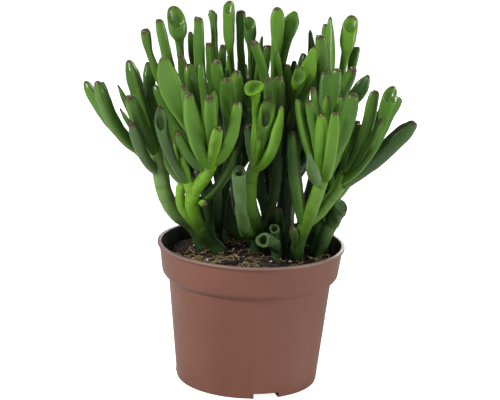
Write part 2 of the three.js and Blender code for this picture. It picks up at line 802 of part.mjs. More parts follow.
// The lumps of the soil's surface: two crossing waves, never more than the relief.
function soilLump(x, y) {
  const broad = Math.sin(x * 0.21 + 1.3) * Math.cos(y * 0.17 - 0.4);
  const fine = Math.sin(x * 0.37 - y * 0.29 + 2.1);
  return soil.relief * (0.6 * broad + 0.4 * fine);
}

function soilSolid(feet) {
  const bottom = pot.floorThickness + soil.gap;
  const wallHeights = [bottom, pot.shoulder, pot.collarFoot, soil.level];
  const side = wallHeights.map((height) => [innerRadius(height) - soil.gap, height]);
  const edge = innerRadius(soil.level) - soil.gap;
  const surface = Array.from({ length: soil.rings }, (_, ring) => (
    [edge * (1 - (ring + 1) / soil.rings), soil.level]
  ));
  const body = turned([[0, bottom], ...side, ...surface], soil.sides);
  const place = body.attributes.position;
  for (let index = 0; index < place.count; index++) {
    const x = place.getX(index);
    const y = place.getY(index);
    const isSurface = place.getZ(index) > soil.level - 0.01;
    if (isSurface) place.setZ(index, soil.level + soilLump(x, y));
  }
  const holes = feet.map(({ foot: [x, y], radius }) => {
    const holeRadius = (radius + soil.gap) / Math.cos(Math.PI / soil.holeSides);
    const depth = foot.buried + soil.gap;
    const hole = new THREE.CylinderGeometry(holeRadius, holeRadius, 2 * depth, soil.holeSides);
    return solidOf(hole.rotateX(Math.PI / 2).translate(x, y, soil.level));
  });
  const recesses = recessBlocks(pot.wall + soil.gap, pot.notchHeight + pot.wall + soil.gap);
  return solidOf(body).subtract(joined(recesses)).subtract(joined(holes));
}

// ---------------------------------------------------------------- the stems with their leaves

function curveThrough(points) {
  return new THREE.CatmullRomCurve3(points, false, "centripetal");
}

const footHeight = soil.level + soil.relief + foot.clear;

function handStem(stem) {
  const [x, y] = stem.foot;
  const limbs = stem.limbs.map(({ route, radii }, index) => {
    const points = route.map(seen);
    return { radii, points: index ? points : [new THREE.Vector3(x, y, footHeight), ...points] };
  });
  return { name: stem.name, foot: stem.foot, limbs, leaves: handPlaced(stem) };
}

function rearStem(stem) {
  const [x, y] = stem.foot;
  const top = new THREE.Vector3(...stem.top);
  const kink = new THREE.Vector3(x, y, 0).lerp(top, rearLeaf.kinkLean).setZ(rearLeaf.kinkHeight);
  const points = [new THREE.Vector3(x, y, footHeight), kink, top];
  const limbs = [{ radii: rearLeaf.stemRadii, points }];
  return { name: stem.name, foot: stem.foot, limbs, leaves: placedByRule(stem) };
}

function stemSolid({ foot: [x, y], limbs, leaves }) {
  const radius = limbs[0].radii[0];
  const height = foot.buried + footHeight - soil.level + foot.overlap;
  const stub = new THREE.CylinderGeometry(radius, radius, height, limb.sides).rotateX(Math.PI / 2);
  const pieces = [solidOf(stub.translate(x, y, soil.level - foot.buried + height / 2))];
  for (const { points, radii } of limbs) {
    pieces.push(limbSolid(curveThrough(points), radii, Math.round(points.length * limb.stepsPerPoint)));
  }
  return joined([...pieces, ...leaves.map(leafSolid)]);
}

const plants = [...stems.map(handStem), ...rearStems.map(rearStem)];
const limbBodies = plants.flatMap(({ name, limbs }) => limbs.map(({ points, radii }) => ({
  stem: name,
  balls: ballsOf(curveThrough(points), (along) => THREE.MathUtils.lerp(...radii, along), leaf.samples),
})));
settle(plants.flatMap(({ leaves }) => leaves), limbBodies);

// ---------------------------------------------------------------- the whole

const looks = {
  pot: { color: 0x7b5347, roughness: 0.45, metalness: 0 },
  soil: { color: 0x33261e, roughness: 0.95, metalness: 0 },
  plant: { color: 0x5c7038, roughness: 0.38, metalness: 0 },
};

const trumpetJade = new THREE.Group();
trumpetJade.name = "trumpet_jade";
trumpetJade.add(meshOf("pot", potSolid(), looks.pot));
const feet = plants.map(({ foot: place, limbs }) => ({ foot: place, radius: limbs[0].radii[0] }));
trumpetJade.add(meshOf("soil", soilSolid(feet), looks.soil));
for (const plant of plants) {
  trumpetJade.add(meshOf(plant.name, stemSolid(plant), looks.plant));
}

export default trumpetJade;
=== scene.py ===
# Trumpet jade in a stepped nursery pot: camera, stage, pot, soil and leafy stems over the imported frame.
import bpy
import functools
import math
import random
import numpy as np
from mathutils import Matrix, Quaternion
from mathutils import Vector


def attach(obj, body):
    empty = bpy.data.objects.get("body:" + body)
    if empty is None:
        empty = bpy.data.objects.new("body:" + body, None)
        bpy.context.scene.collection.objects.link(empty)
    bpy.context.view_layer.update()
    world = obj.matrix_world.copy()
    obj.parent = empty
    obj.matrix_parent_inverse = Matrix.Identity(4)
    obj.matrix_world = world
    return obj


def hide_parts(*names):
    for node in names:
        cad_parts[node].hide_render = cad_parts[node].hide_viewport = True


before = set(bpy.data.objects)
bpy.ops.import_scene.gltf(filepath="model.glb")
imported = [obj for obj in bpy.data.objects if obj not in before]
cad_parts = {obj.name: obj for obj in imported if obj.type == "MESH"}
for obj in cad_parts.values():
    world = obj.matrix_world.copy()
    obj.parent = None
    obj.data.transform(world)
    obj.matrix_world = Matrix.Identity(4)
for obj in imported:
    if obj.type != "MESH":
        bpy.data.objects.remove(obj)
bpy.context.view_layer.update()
print("frame loaded:", len(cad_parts))
mm = 0.001


cameraView = {
    "eye": (0, -1049 * mm, 380 * mm),
    "aim": (-1.8 * mm, 0, 117.5 * mm),
    "rollDeg": 2.2,  # the view leans a little to the right
    "lens": 122.3,
    "sensor": 36,
}


def addPiece(name, data):
    piece = bpy.data.objects.new(name, data)
    bpy.context.scene.collection.objects.link(piece)
    return piece


def makeCamera():
    data = bpy.data.cameras.new("camera")
    data.lens = cameraView["lens"]
    data.sensor_width = cameraView["sensor"]
    camera = addPiece("camera", data)
    camera.location = Vector(cameraView["eye"])
    turn = (Vector(cameraView["aim"]) - camera.location).to_track_quat("-Z", "Y")
    roll = Quaternion((0, 0, 1), math.radians(cameraView["rollDeg"]))
    camera.rotation_euler = (turn @ roll).to_euler()
    bpy.context.scene.camera = camera
    print("camera placed")


def addNode(tree, kind, inputs=None, **settings):
    node = tree.nodes.new(kind)
    for name, value in settings.items():
        setattr(node, name, value)
    for key, value in (inputs or {}).items():
        if isinstance(value, bpy.types.NodeSocket):
            tree.links.new(value, node.inputs[key])
        else:
            node.inputs[key].default_value = value
    return node


def calc(operation, *values, clamp=False):
    # a sum of sockets and numbers, in the tree that the sockets belong to
    sockets = [value for value in values if isinstance(value, bpy.types.NodeSocket)]
    tree = sockets[0].id_data
    inputs = dict(enumerate(values))
    if any(socket.type in ("VECTOR", "RGBA") for socket in sockets):
        return addNode(tree, "ShaderNodeVectorMath", inputs, operation=operation).outputs[0]
    return addNode(tree, "ShaderNodeMath", inputs, operation=operation, use_clamp=clamp).outputs[0]


def plus(*values):
    return functools.reduce(functools.partial(calc, "ADD"), values)


def times(*values):
    return functools.reduce(functools.partial(calc, "MULTIPLY"), values)


def minus(first, second):
    return calc("SUBTRACT", first, second)


def scaled(vector, share):
    inputs = {0: vector, "Scale": share}
    return addNode(vector.id_data, "ShaderNodeVectorMath", inputs, operation="SCALE").outputs[0]


def fromAxis(point, middle=(0, 0, 0)):
    # how far a point is from an upright line
    flat = times(minus(point, middle), (1, 1, 0))
    return addNode(flat.id_data, "ShaderNodeVectorMath", {0: flat}, operation="LENGTH").outputs["Value"]


def parts(vector):
    return addNode(vector.id_data, "ShaderNodeSeparateXYZ", {0: vector}).outputs


def upright(height):
    return addNode(height.id_data, "ShaderNodeCombineXYZ", {"Z": height}).outputs[0]


def remap(value, low, high, toLow=0.0, toHigh=1.0, style="LINEAR"):
    inputs = {"Value": value, "From Min": low, "From Max": high, "To Min": toLow, "To Max": toHigh}
    return addNode(value.id_data, "ShaderNodeMapRange", inputs, interpolation_type=style).outputs[0]


def eased(value, low, high, toLow=0.0, toHigh=1.0):
    return remap(value, low, high, toLow, toHigh, "SMOOTHSTEP")


def noise(point, scale, detail=2.0, roughness=0.5, seed=None, output="Fac"):
    # a seed is a place along a fourth dimension
    inputs = {"Vector": point, "Scale": scale, "Detail": detail, "Roughness": roughness}
    if seed is not None:
        inputs["W"] = seed
    dimensions = "3D" if seed is None else "4D"
    node = addNode(point.id_data, "ShaderNodeTexNoise", inputs, noise_dimensions=dimensions)
    return node.outputs[output]


def jitter(point, amount, scale, detail=1.0, seed=None):
    # a small push to any side
    colour = noise(point, scale, detail, seed=seed, output="Color")
    return scaled(minus(colour, (0.5, 0.5, 0.5)), amount)


def floatCurve(value, points):
    node = addNode(value.id_data, "ShaderNodeFloatCurve", {"Value": value})
    curve = node.mapping.curves[0]
    for place, height in points[1:-1]:
        curve.points.new(place, height)
    for end in (0, -1):
        curve.points[end].location = points[end]
    node.mapping.update()
    return node.outputs[0]


socketKinds = {int: "NodeSocketInt", float: "NodeSocketFloat", type(None): "NodeSocketGeometry"}


def newTree(name, kind, inputs, outputs):
    # the sockets are named here with their values, and None stands for geometry
    tree = bpy.data.node_groups.new(name, kind)
    for way, labels in (("INPUT", inputs), ("OUTPUT", outputs)):
        for label, value in labels.items():
            socket = tree.interface.new_socket(label, in_out=way, socket_type=socketKinds[type(value)])
            if value is not None:
                socket.default_value = value
    return tree, tree.nodes.new("NodeGroupInput").outputs, tree.nodes.new("NodeGroupOutput").inputs


def newGeometryTree(name, inputs):
    return newTree(name, "GeometryNodeTree", {"Geometry": None, **inputs}, {"Geometry": None})


def through(geometry, kind, inputs=None, **settings):
    # the geometry behind one more node
    inputs = {"Geometry": geometry, **(inputs or {})}
    return addNode(geometry.id_data, "GeometryNode" + kind, inputs, **settings).outputs[0]


def finishTree(geometry, material, result):
    real = through(geometry, "RealizeInstances")
    painted = through(real, "SetMaterial", {"Material": material})
    geometry.id_data.links.new(painted, result["Geometry"])


def runTree(piece, tree, values):
    modifier = piece.modifiers.new(tree.name, "NODES")
    modifier.node_group = tree
    for item in tree.interface.items_tree:
        if item.in_out == "INPUT" and item.name in values:
            modifier[item.identifier] = values[item.name]
    takeMesh(piece, modifier)


def takeMesh(piece, modifier):
    # the piece takes the mesh that its modifier makes
    mesh = bpy.data.meshes.new_from_object(piece.evaluated_get(bpy.context.evaluated_depsgraph_get()))
    piece.modifiers.remove(modifier)
    piece.data = mesh


def named(tree, label, kind="FLOAT"):
    return addNode(tree, "GeometryNodeInputNamedAttribute", {"Name": label}, data_type=kind).outputs[0]


def stored(geometry, label, value):
    inputs = {"Name": label, "Value": value}
    return through(geometry, "StoreNamedAttribute", inputs, data_type="FLOAT", domain="POINT")


def position(tree):
    return tree.nodes.new("GeometryNodeInputPosition").outputs[0]


def newMaterial(name):
    material = bpy.data.materials.new(name)
    material.use_nodes = True
    tree = material.node_tree
    return material, tree, tree.nodes["Principled BSDF"]


def blended(share, first, second):
    inputs = {0: share, 6: first, 7: second}
    return addNode(share.id_data, "ShaderNodeMix", inputs, data_type="RGBA").outputs[2]


def attribute(tree, label):
    return addNode(tree, "ShaderNodeAttribute", attribute_name=label).outputs["Fac"]


def objectPoint(tree):
    return tree.nodes.new("ShaderNodeTexCoord").outputs["Object"]


def roughen(skin, height, strength, distance):
    inputs = {"Height": height, "Strength": strength, "Distance": distance}
    bump = addNode(height.id_data, "ShaderNodeBump", inputs).outputs[0]
    height.id_data.links.new(bump, skin.inputs["Normal"])


noiseSpan = (0.3, 0.7)  # where most of a noise lies


def makeMottleGroup():
    # soft patches and small grains of light and dark, for skin, plastic and soil alike
    inputs = {"Patch Scale": 60.0, "Grain Scale": 900.0, "Grain Share": 0.3}
    group, given, result = newTree("mottle", "ShaderNodeTree", inputs, {"Mask": 0.0, "Grain": 0.0})
    patch = noise(objectPoint(group), given["Patch Scale"], 3.0)
    grain = noise(objectPoint(group), given["Grain Scale"])
    patchPart = times(patch, minus(1.0, given["Grain Share"]))
    mask = remap(plus(patchPart, times(grain, given["Grain Share"])), *noiseSpan)
    group.links.new(mask, result["Mask"])
    group.links.new(grain, result["Grain"])
    return group


def mottled(tree, mottle, patchScale, grainScale, grainShare):
    inputs = {"Patch Scale": patchScale, "Grain Scale": grainScale, "Grain Share": grainShare}
    return addNode(tree, "ShaderNodeGroup", inputs, node_tree=mottle).outputs


leafLook = {
    "bright": (0.158, 0.352, 0.019, 1),
    "middle": (0.078, 0.182, 0.024, 1),
    # dark green of old leaves, which is also the colour of the painted shade low down near the soil
    "oldAndShaded": (0.026, 0.07, 0.017, 1),
    "greyDark": (0.042, 0.078, 0.034, 1),
    "greyPale": (0.17, 0.27, 0.115, 1),
    # paler yellow-green along the keels: partly the keels' own colour, partly painted highlight
    "crest": (0.27, 0.42, 0.06, 1),
    "tip": (0.05, 0.024, 0.014, 1),
    "tipPale": (0.17, 0.11, 0.07, 1),
    # painted shade: dark green deep in the mouths of hollow leaves
    "mouthShade": (0.02, 0.045, 0.01, 1),
    "scar": (0.03, 0.045, 0.018, 1),
    # painted shade: the dark colour that the middle of the plant is painted towards
    "inside": (0.009, 0.022, 0.008, 1),
    "bloomShare": 0.75,
    "youngShare": 0.3,
    "youngReach": 0.3,  # this far up a leaf
    "crestShare": 0.22,
    "crestFrom": 0.55,
    "patchShare": 0.45,
    "patchFrom": 0.25,
    "tipShare": 0.92,
    "tipRagged": 0.3,
    "tipEdge": (0.25, 0.75),
    "tipFlecks": (0.54, 0.7),
    "mouthShadeShare": 0.85,
    "scarShare": 0.3,
    # painted shade in the middle of the plant: its strength, the axis it gathers round, and how far out, up
    # and forward it reaches
    "paintedShadeShare": 0.86,
    "footShadeShare": 0.6,
    "paintedShadeMiddle": (0, 0.008, 0),
    "paintedShadeReach": (0.02, 0.055),
    "paintedShadeTop": (0.158, 0.212),
    "paintedShadeFront": (0.002, -0.022),
    # painted shade: below this height the plant darkens towards the soil
    "footShadeTop": (0.112, 0.082),
    "mottle": (55.0, 700.0, 0.3),
    "roughness": (0.14, 0.3),
    "matt": 0.4,  # added to the roughness in the middle of the plant
    "sheen": 0.26,
    "glow": 0.1,
    "glowRadius": (0.3, 0.6, 0.1),
    "glowScale": 0.003,
    "bumpScale": 420.0,
    "bump": (0.1, 0.0005),
}


def makeLeafMaterial(mottle):
    look = leafLook
    material, tree, skin = newMaterial("leafSkin")
    speckle = mottled(tree, mottle, *look["mottle"])
    tone = attribute(tree, "tone")
    low = blended(remap(tone, 0.0, 0.5), look["oldAndShaded"], look["middle"])
    green = blended(remap(tone, 0.5, 1.0), low, look["bright"])
    grey = blended(tone, look["greyDark"], look["greyPale"])
    tint = blended(times(attribute(tree, "bloom"), look["bloomShare"]), green, grey)
    # young growth near a leaf's base is yellower and paler
    young = remap(attribute(tree, "along"), look["youngReach"], 0.0, 0.0, look["youngShare"])
    tint = blended(young, tint, look["bright"])
    # the keels are painted paler: partly their own lighter colour, partly a painted highlight where they
    # catch the light
    crest = eased(attribute(tree, "crest"), look["crestFrom"], 1.0, 0.0, look["crestShare"])
    tint = blended(crest, tint, look["crest"])
    patches = remap(speckle["Mask"], look["patchFrom"], 1.0, 0.0, look["patchShare"])
    tint = blended(patches, tint, look["middle"])
    # painted shade: near the axis, below the tops and behind the front, the plant is darkened as the leaves
    # around would shade it
    point = objectPoint(tree)
    outside = eased(fromAxis(point, look["paintedShadeMiddle"]), *look["paintedShadeReach"])
    high = eased(parts(point)["Z"], *look["paintedShadeTop"])
    front = eased(parts(point)["Y"], *look["paintedShadeFront"])
    openAir = calc("MAXIMUM", calc("MAXIMUM", outside, high), front)
    tint = blended(remap(openAir, 0.0, 1.0, look["paintedShadeShare"], 0.0), tint, look["inside"])
    # painted shade: low down, near the soil, leaves and limbs are darkened towards the old colour
    tint = blended(eased(parts(point)["Z"], *look["footShadeTop"], 0.0, look["footShadeShare"]), tint, look["oldAndShaded"])
    fray = remap(speckle["Grain"], *noiseSpan, -look["tipRagged"], look["tipRagged"])
    ragged = eased(plus(attribute(tree, "tipNear"), fray), *look["tipEdge"], 0.0, look["tipShare"])
    brown = blended(remap(speckle["Grain"], *look["tipFlecks"]), look["tip"], look["tipPale"])
    tint = blended(ragged, tint, brown)
    # painted shade deep in the mouths of hollow leaves, and the real dark rings where old leaves sat on the
    # limbs
    for label in ("mouthShade", "scar"):
        tint = blended(times(attribute(tree, label), look[label + "Share"]), tint, look[label])
    tree.links.new(tint, skin.inputs["Base Color"])
    rough = remap(speckle["Mask"], 0.0, 1.0, *look["roughness"])
    matt = remap(openAir, 0.0, 1.0, look["matt"], 0.0)
    tree.links.new(calc("ADD", rough, matt, clamp=True), skin.inputs["Roughness"])
    skin.inputs["Specular IOR Level"].default_value = look["sheen"]
    skin.inputs["Subsurface Weight"].default_value = look["glow"]
    skin.inputs["Subsurface Radius"].default_value = look["glowRadius"]
    skin.inputs["Subsurface Scale"].default_value = look["glowScale"]
    roughen(skin, noise(point, look["bumpScale"], 3.0), *look["bump"])
    return material


potLook = {
    "clay": (0.155, 0.0525, 0.0295, 1),
    "clayPale": (0.188, 0.069, 0.0425, 1),
    "inside": (0.026, 0.021, 0.019, 1),
    # painted highlight: a lighter, greyer colour on top of the lip
    "rimHighlight": (0.2, 0.125, 0.11, 1),
    "mottle": (22.0, 600.0, 0.15),
    "roughness": (0.4, 0.52),
    "bump": (0.05, 0.0004),
}


def makePotMaterial(mottle):
    material, tree, plastic = newMaterial("potPlastic")
    cloud = mottled(tree, mottle, *potLook["mottle"])
    tint = blended(cloud["Mask"], potLook["clay"], potLook["clayPale"])
    # painted highlight on top of the lip; the inside wall is the pot's own black layer
    for label in ("rimHighlight", "inside"):
        tint = blended(attribute(tree, label), tint, potLook[label])
    tree.links.new(tint, plastic.inputs["Base Color"])
    tree.links.new(remap(cloud["Grain"], *noiseSpan, *potLook["roughness"]), plastic.inputs["Roughness"])
    roughen(plastic, cloud["Grain"], *potLook["bump"])
    return material


soilFinish = {"mottle": (160.0, 1500.0, 0.5), "roughness": (0.8, 1.0), "sheen": 0.25}
soilLook = {
    "soilEarth": ((0.009, 0.006, 0.005, 1), (0.022, 0.013, 0.009, 1)),
    "soilCrumb": ((0.009, 0.006, 0.005, 1), (0.036, 0.022, 0.014, 1)),
    "perliteGrain": ((0.75, 0.74, 0.7, 1), (0.5, 0.49, 0.45, 1)),
    "strawFibre": ((0.46, 0.36, 0.17, 1), (0.16, 0.1, 0.045, 1)),
    "rootletFibre": ((0.2, 0.15, 0.1, 1), (0.05, 0.035, 0.025, 1)),
    "mossBit": ((0.16, 0.17, 0.05, 1), (0.04, 0.05, 0.015, 1)),
}


def makeSoilMaterial(mottle, name):
    material, tree, earth = newMaterial(name)
    cloud = mottled(tree, mottle, *soilFinish["mottle"])
    tree.links.new(blended(cloud["Mask"], *soilLook[name]), earth.inputs["Base Color"])
    rough = remap(cloud["Grain"], *noiseSpan, *soilFinish["roughness"])
    tree.links.new(rough, earth.inputs["Roughness"])
    earth.inputs["Specular IOR Level"].default_value = soilFinish["sheen"]
    return material


stageSizes = {
    "floorReach": 6.0,
    "floorTint": (0.7, 0.7, 0.7, 1),
    "floorRoughness": 0.9,
    "floorGlow": 0.9,  # seen by the camera alone
    "surround": 0.22,
    "aim": (0, 0, 0.12),
    "lamps": {
        "key": {"place": (-1.0, -0.78, 1.05), "size": 0.5, "power": 26.0},
        "fill": {"place": (1.25, -0.5, 0.35), "size": 0.7, "power": 11.5},
        "back": {"place": (0.3, 1.1, 0.6), "size": 0.8, "power": 9.0},
    },
}


def makeLamp(name, lamp):
    data = bpy.data.lights.new(name, "AREA")
    data.shape = "DISK"
    data.size = lamp["size"]
    data.energy = lamp["power"]
    piece = addPiece(name, data)
    piece.location = lamp["place"]
    way = Vector(stageSizes["aim"]) - Vector(lamp["place"])
    piece.rotation_euler = way.to_track_quat("-Z", "Y").to_euler()


def makeFloor():
    mesh = bpy.data.meshes.new("floor")
    reach = stageSizes["floorReach"]
    corners = [(-reach, -reach, 0), (reach, -reach, 0), (reach, reach, 0), (-reach, reach, 0)]
    mesh.from_pydata(corners, [], [(0, 1, 2, 3)])
    floor = addPiece("floor", mesh)
    material, tree, paint = newMaterial("paleFloor")
    paint.inputs["Base Color"].default_value = stageSizes["floorTint"]
    paint.inputs["Roughness"].default_value = stageSizes["floorRoughness"]
    paint.inputs["Emission Color"].default_value = (1, 1, 1, 1)
    seen = addNode(tree, "ShaderNodeLightPath").outputs["Is Camera Ray"]
    tree.links.new(times(seen, stageSizes["floorGlow"]), paint.inputs["Emission Strength"])
    mesh.materials.append(material)


def makeStage():
    scene = bpy.context.scene
    scene.view_settings.view_transform = "Standard"
    makeFloor()
    scene.world = bpy.data.worlds.new("surround")
    scene.world.use_nodes = True
    light = scene.world.node_tree
    background = light.nodes["Background"]
    background.inputs["Color"].default_value = (1, 1, 1, 1)
    seen = addNode(light, "ShaderNodeLightPath").outputs["Is Camera Ray"]
    strength = remap(seen, 0.0, 1.0, stageSizes["surround"], 1.0)
    light.links.new(strength, background.inputs["Strength"])
    for name, lamp in stageSizes["lamps"].items():
        makeLamp(name, lamp)
    print("stage set")


potSizes = {
    "height": 90,
    "lipRadius": 60,
    "lipHeight": 1.8,
    "collarTopRadius": 58.7,
    "collarFootRadius": 56.6,
    "collarFoot": 73,
    "collarTuck": (0.3, 2.6),  # in and down
    "shoulder": 67.6,
    "shoulderRadius": 52.2,
    "shoulderStep": 1.3,
    "baseRadius": 45.4,
    "baseTuck": 0.2,
    "wall": 1.0,
    "floorThickness": 1.2,
    "notchCount": 3,
    "notchWidth": 16.5,
    "notchHeight": 3.5,
    "notchReach": 33,
    "notchTurnDeg": 17,
    "notchSink": 0.4,  # its shell stays this far inside the pot's skin
    "cutPast": 5,
    "cutFrom": -1,
    "drainRadius": 2.6,
    "drainCircle": 38,
    "drainSides": 24,
    "sides": 144,
    "sharpDeg": 38,
    "insideSlack": 0.25,
    "insideFrom": 0.9,
    "rimFrom": 0.8,
}


def circle(radius, sides, middle=(0, 0)):
    ways = [2 * math.pi * k / sides for k in range(sides)]
    return [(middle[0] + radius * math.cos(way), middle[1] + radius * math.sin(way)) for way in ways]


def roundedProfile(corners, steps=4):
    # each corner is (radius, height, rounding); a rounding of 0 keeps it sharp
    points = []
    for index, (radius, height, rounding) in enumerate(corners):
        here = np.array((radius, height), float)
        if rounding == 0:
            points.append(here)
            continue
        before, after = (np.array(corners[index + way][:2], float) for way in (-1, 1))
        start, end = (here + (far - here) / np.linalg.norm(far - here) * rounding for far in (before, after))
        for share in (step / steps for step in range(steps + 1)):
            points.append((1 - share) ** 2 * start + 2 * share * (1 - share) * here + share**2 * end)
    return points


def newMesh(name, verts, faces):
    mesh = bpy.data.meshes.new(name)
    mesh.from_pydata([tuple(value * mm for value in vert) for vert in verts], [], faces)
    return mesh


def turnedMesh(name, profile, sides):
    # a closed body of revolution; the profile starts and ends on the axis
    inner = profile[1:-1]
    ring = circle(1, sides)
    verts = [(0, 0, profile[0][1])]
    verts += [(x * radius, y * radius, height) for radius, height in inner for x, y in ring]
    verts += [(0, 0, profile[-1][1])]
    top = 1 + (len(inner) - 1) * sides
    faces = []
    for k in range(sides):
        after = (k + 1) % sides
        faces.append((0, 1 + after, 1 + k))
        for low in range(1, top, sides):
            faces.append((low + k, low + after, low + sides + after, low + sides + k))
        faces.append((top + k, top + after, len(verts) - 1))
    return newMesh(name, verts, faces)


def blockMesh(outline, low, high, turnDeg):
    # an upright block on an outline, turned about the pot's axis
    cos, sin = math.cos(math.radians(turnDeg)), math.sin(math.radians(turnDeg))
    count = len(outline)
    verts = [(x * cos - y * sin, x * sin + y * cos, z) for z in (low, high) for x, y in outline]
    faces = [(k, (k + 1) % count, count + (k + 1) % count, count + k) for k in range(count)]
    faces += [tuple(reversed(range(count))), tuple(range(count, 2 * count))]
    return newMesh("block", verts, faces)


def carve(piece, operation, outline, low, high, turnDeg):
    tool = addPiece("block", blockMesh(outline, low, high, turnDeg))
    modifier = piece.modifiers.new("carve", "BOOLEAN")
    modifier.operation = operation
    modifier.solver = "EXACT"
    modifier.object = tool
    takeMesh(piece, modifier)
    bpy.data.objects.remove(tool)


def acrossFront(width, near, far):
    return [(-width / 2, -far), (width / 2, -far), (width / 2, -near), (-width / 2, -near)]


def innerRadius(height):
    sizes = potSizes
    heights = [0, sizes["shoulder"], sizes["collarFoot"], sizes["height"]]
    radii = [sizes[name] for name in ("baseRadius", "shoulderRadius", "collarFootRadius", "collarTopRadius")]
    return float(np.interp(height, heights, radii)) - sizes["wall"]


def makePot(material):
    sizes = potSizes
    lip = sizes["height"] - sizes["lipHeight"]
    tuckIn, tuckDown = sizes["collarTuck"]
    outer = [
        (0, 0, 0),
        (sizes["baseRadius"] - sizes["baseTuck"], 0, 1.2),
        (sizes["shoulderRadius"], sizes["shoulder"], 0.5),
        (sizes["shoulderRadius"] + sizes["shoulderStep"], sizes["shoulder"], 0.5),
        (sizes["collarFootRadius"] - tuckIn, sizes["collarFoot"] - tuckDown, 1.8),
        (sizes["collarTopRadius"], lip, 0.5),
        (sizes["lipRadius"], lip, 0.5),
        (sizes["lipRadius"], sizes["height"], 0.7),
        (innerRadius(sizes["height"]) - 0.1, sizes["height"], 0.5),
        (innerRadius(sizes["collarFoot"]), sizes["collarFoot"], 1.0),
        (innerRadius(sizes["shoulder"]), sizes["shoulder"], 1.0),
        (innerRadius(sizes["floorThickness"]), sizes["floorThickness"], 0.6),
        (0, sizes["floorThickness"], 0),
    ]
    pot = addPiece("potBody", turnedMesh("potBody", roundedProfile(outer), sizes["sides"]))
    near, far, width = sizes["notchReach"], sizes["baseRadius"], sizes["notchWidth"]
    wall, roof, sink = sizes["wall"], sizes["notchHeight"], sizes["notchSink"]
    shell = acrossFront(width + 2 * wall, near - wall, far - sink)
    hollow = acrossFront(width, near, far + sizes["cutPast"])
    drain = circle(sizes["drainRadius"], sizes["drainSides"], (0, -sizes["drainCircle"]))
    for count in range(sizes["notchCount"]):
        turn = sizes["notchTurnDeg"] + 360 * count / sizes["notchCount"]
        carve(pot, "UNION", shell, sink, roof + wall, turn)
        carve(pot, "DIFFERENCE", hollow, sizes["cutFrom"], roof, turn)
        carve(pot, "DIFFERENCE", drain, sizes["cutFrom"], 2 * roof + wall, turn)
    mesh = pot.data
    inside, rimHighlight = [], []
    for x, y, z in (vert.co / mm for vert in mesh.vertices):
        isWithin = math.hypot(x, y) < innerRadius(max(z, 0)) + sizes["insideSlack"]
        inside.append(float(isWithin and z > sizes["insideFrom"]))
        # the top of the lip, which takes a painted highlight
        rimHighlight.append(float(z > lip + sizes["rimFrom"] and inside[-1] == 0))
    for label, values in (("inside", inside), ("rimHighlight", rimHighlight)):
        mesh.attributes.new(label, "FLOAT", "POINT").data.foreach_set("value", values)
    mesh.materials.clear()
    mesh.materials.append(material)
    mesh.shade_smooth()
    mesh.set_sharp_from_angle(angle=math.radians(sizes["sharpDeg"]))
    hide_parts("pot")
    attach(pot, "root")
    print("pot turned")


# Points on the plant are written as they are seen from an eye point before the pot: how far across and how
# far up on the upright plane through the pot's axis, then the depth y. A point keeps its place in the front
# view whatever its depth.
tableEye = {"distance": 1049, "height": 380}

# Besides age, the tones paint in light and shade: lower for leaves that sit in shade, higher for some that
# catch a highlight.
# A stem stands at foot (x, y) in the soil. limbs: the radius at either end and the route of stem and
# branches. tufts: where leaves grow from, a place on the stem below it, and the leaves, each with its kind
# (none for a finger), tip, width, bow and, for some, the way it faces. tones: that of the limbs and then of
# each leaf in turn, where 0 is old and dark, 1 young and bright, and below zero the skin has a grey bloom.
# forms: the leaves, counted from 0, that take a finer form than their kind's own.
stems = {}

stems["stem_left"] = {
    "foot": (-30, 13.5),
    "limbs": [
        (5, 5.2, [(-31.5, 90, 12), (-37.5, 99, 8), (-48.3, 107, 1), (-55, 117, -4), (-58.5, 129, -7),
                  (-61, 141, -8), (-63, 150, -8)]),
        (4, 4, [(-59, 136, -6), (-66, 142, -5), (-73, 147.5, -6)]),
    ],
    "tufts": [
        ((-73, 148.5, -6), (-64, 141, -6), [
            (-107.5, 190.8, -14, 8.4, 0.1), (-100, 191, -26, 9.5, 0.14), (-97.3, 190.8, -4, 7, 0.14),
        ]),
        ((-61, 134, -8), (-58, 126, -8), [(-78.2, 166, -24, 7.6, 0.1)]),
        ((-63, 151, -9), (-60, 138, -8), [
            (-80.5, 182.5, -32, 10, 0.04), ("point", -87.6, 189, -10, 6, 0.03),
            ("point", -86, 174, 0, 4.5, 0.05), (-80.5, 205.3, 0, 10.5, 0.03), (-68.2, 204.3, 12, 8, 0.08),
        ]),
    ],
    "tones": (-1, 0.5, 0.36, 0.6, -0.3, 0.36, 0.3, 0.6, 0.25, 0.2),
    "forms": {"bud": [0, 1, 2, 7, 8]},
}

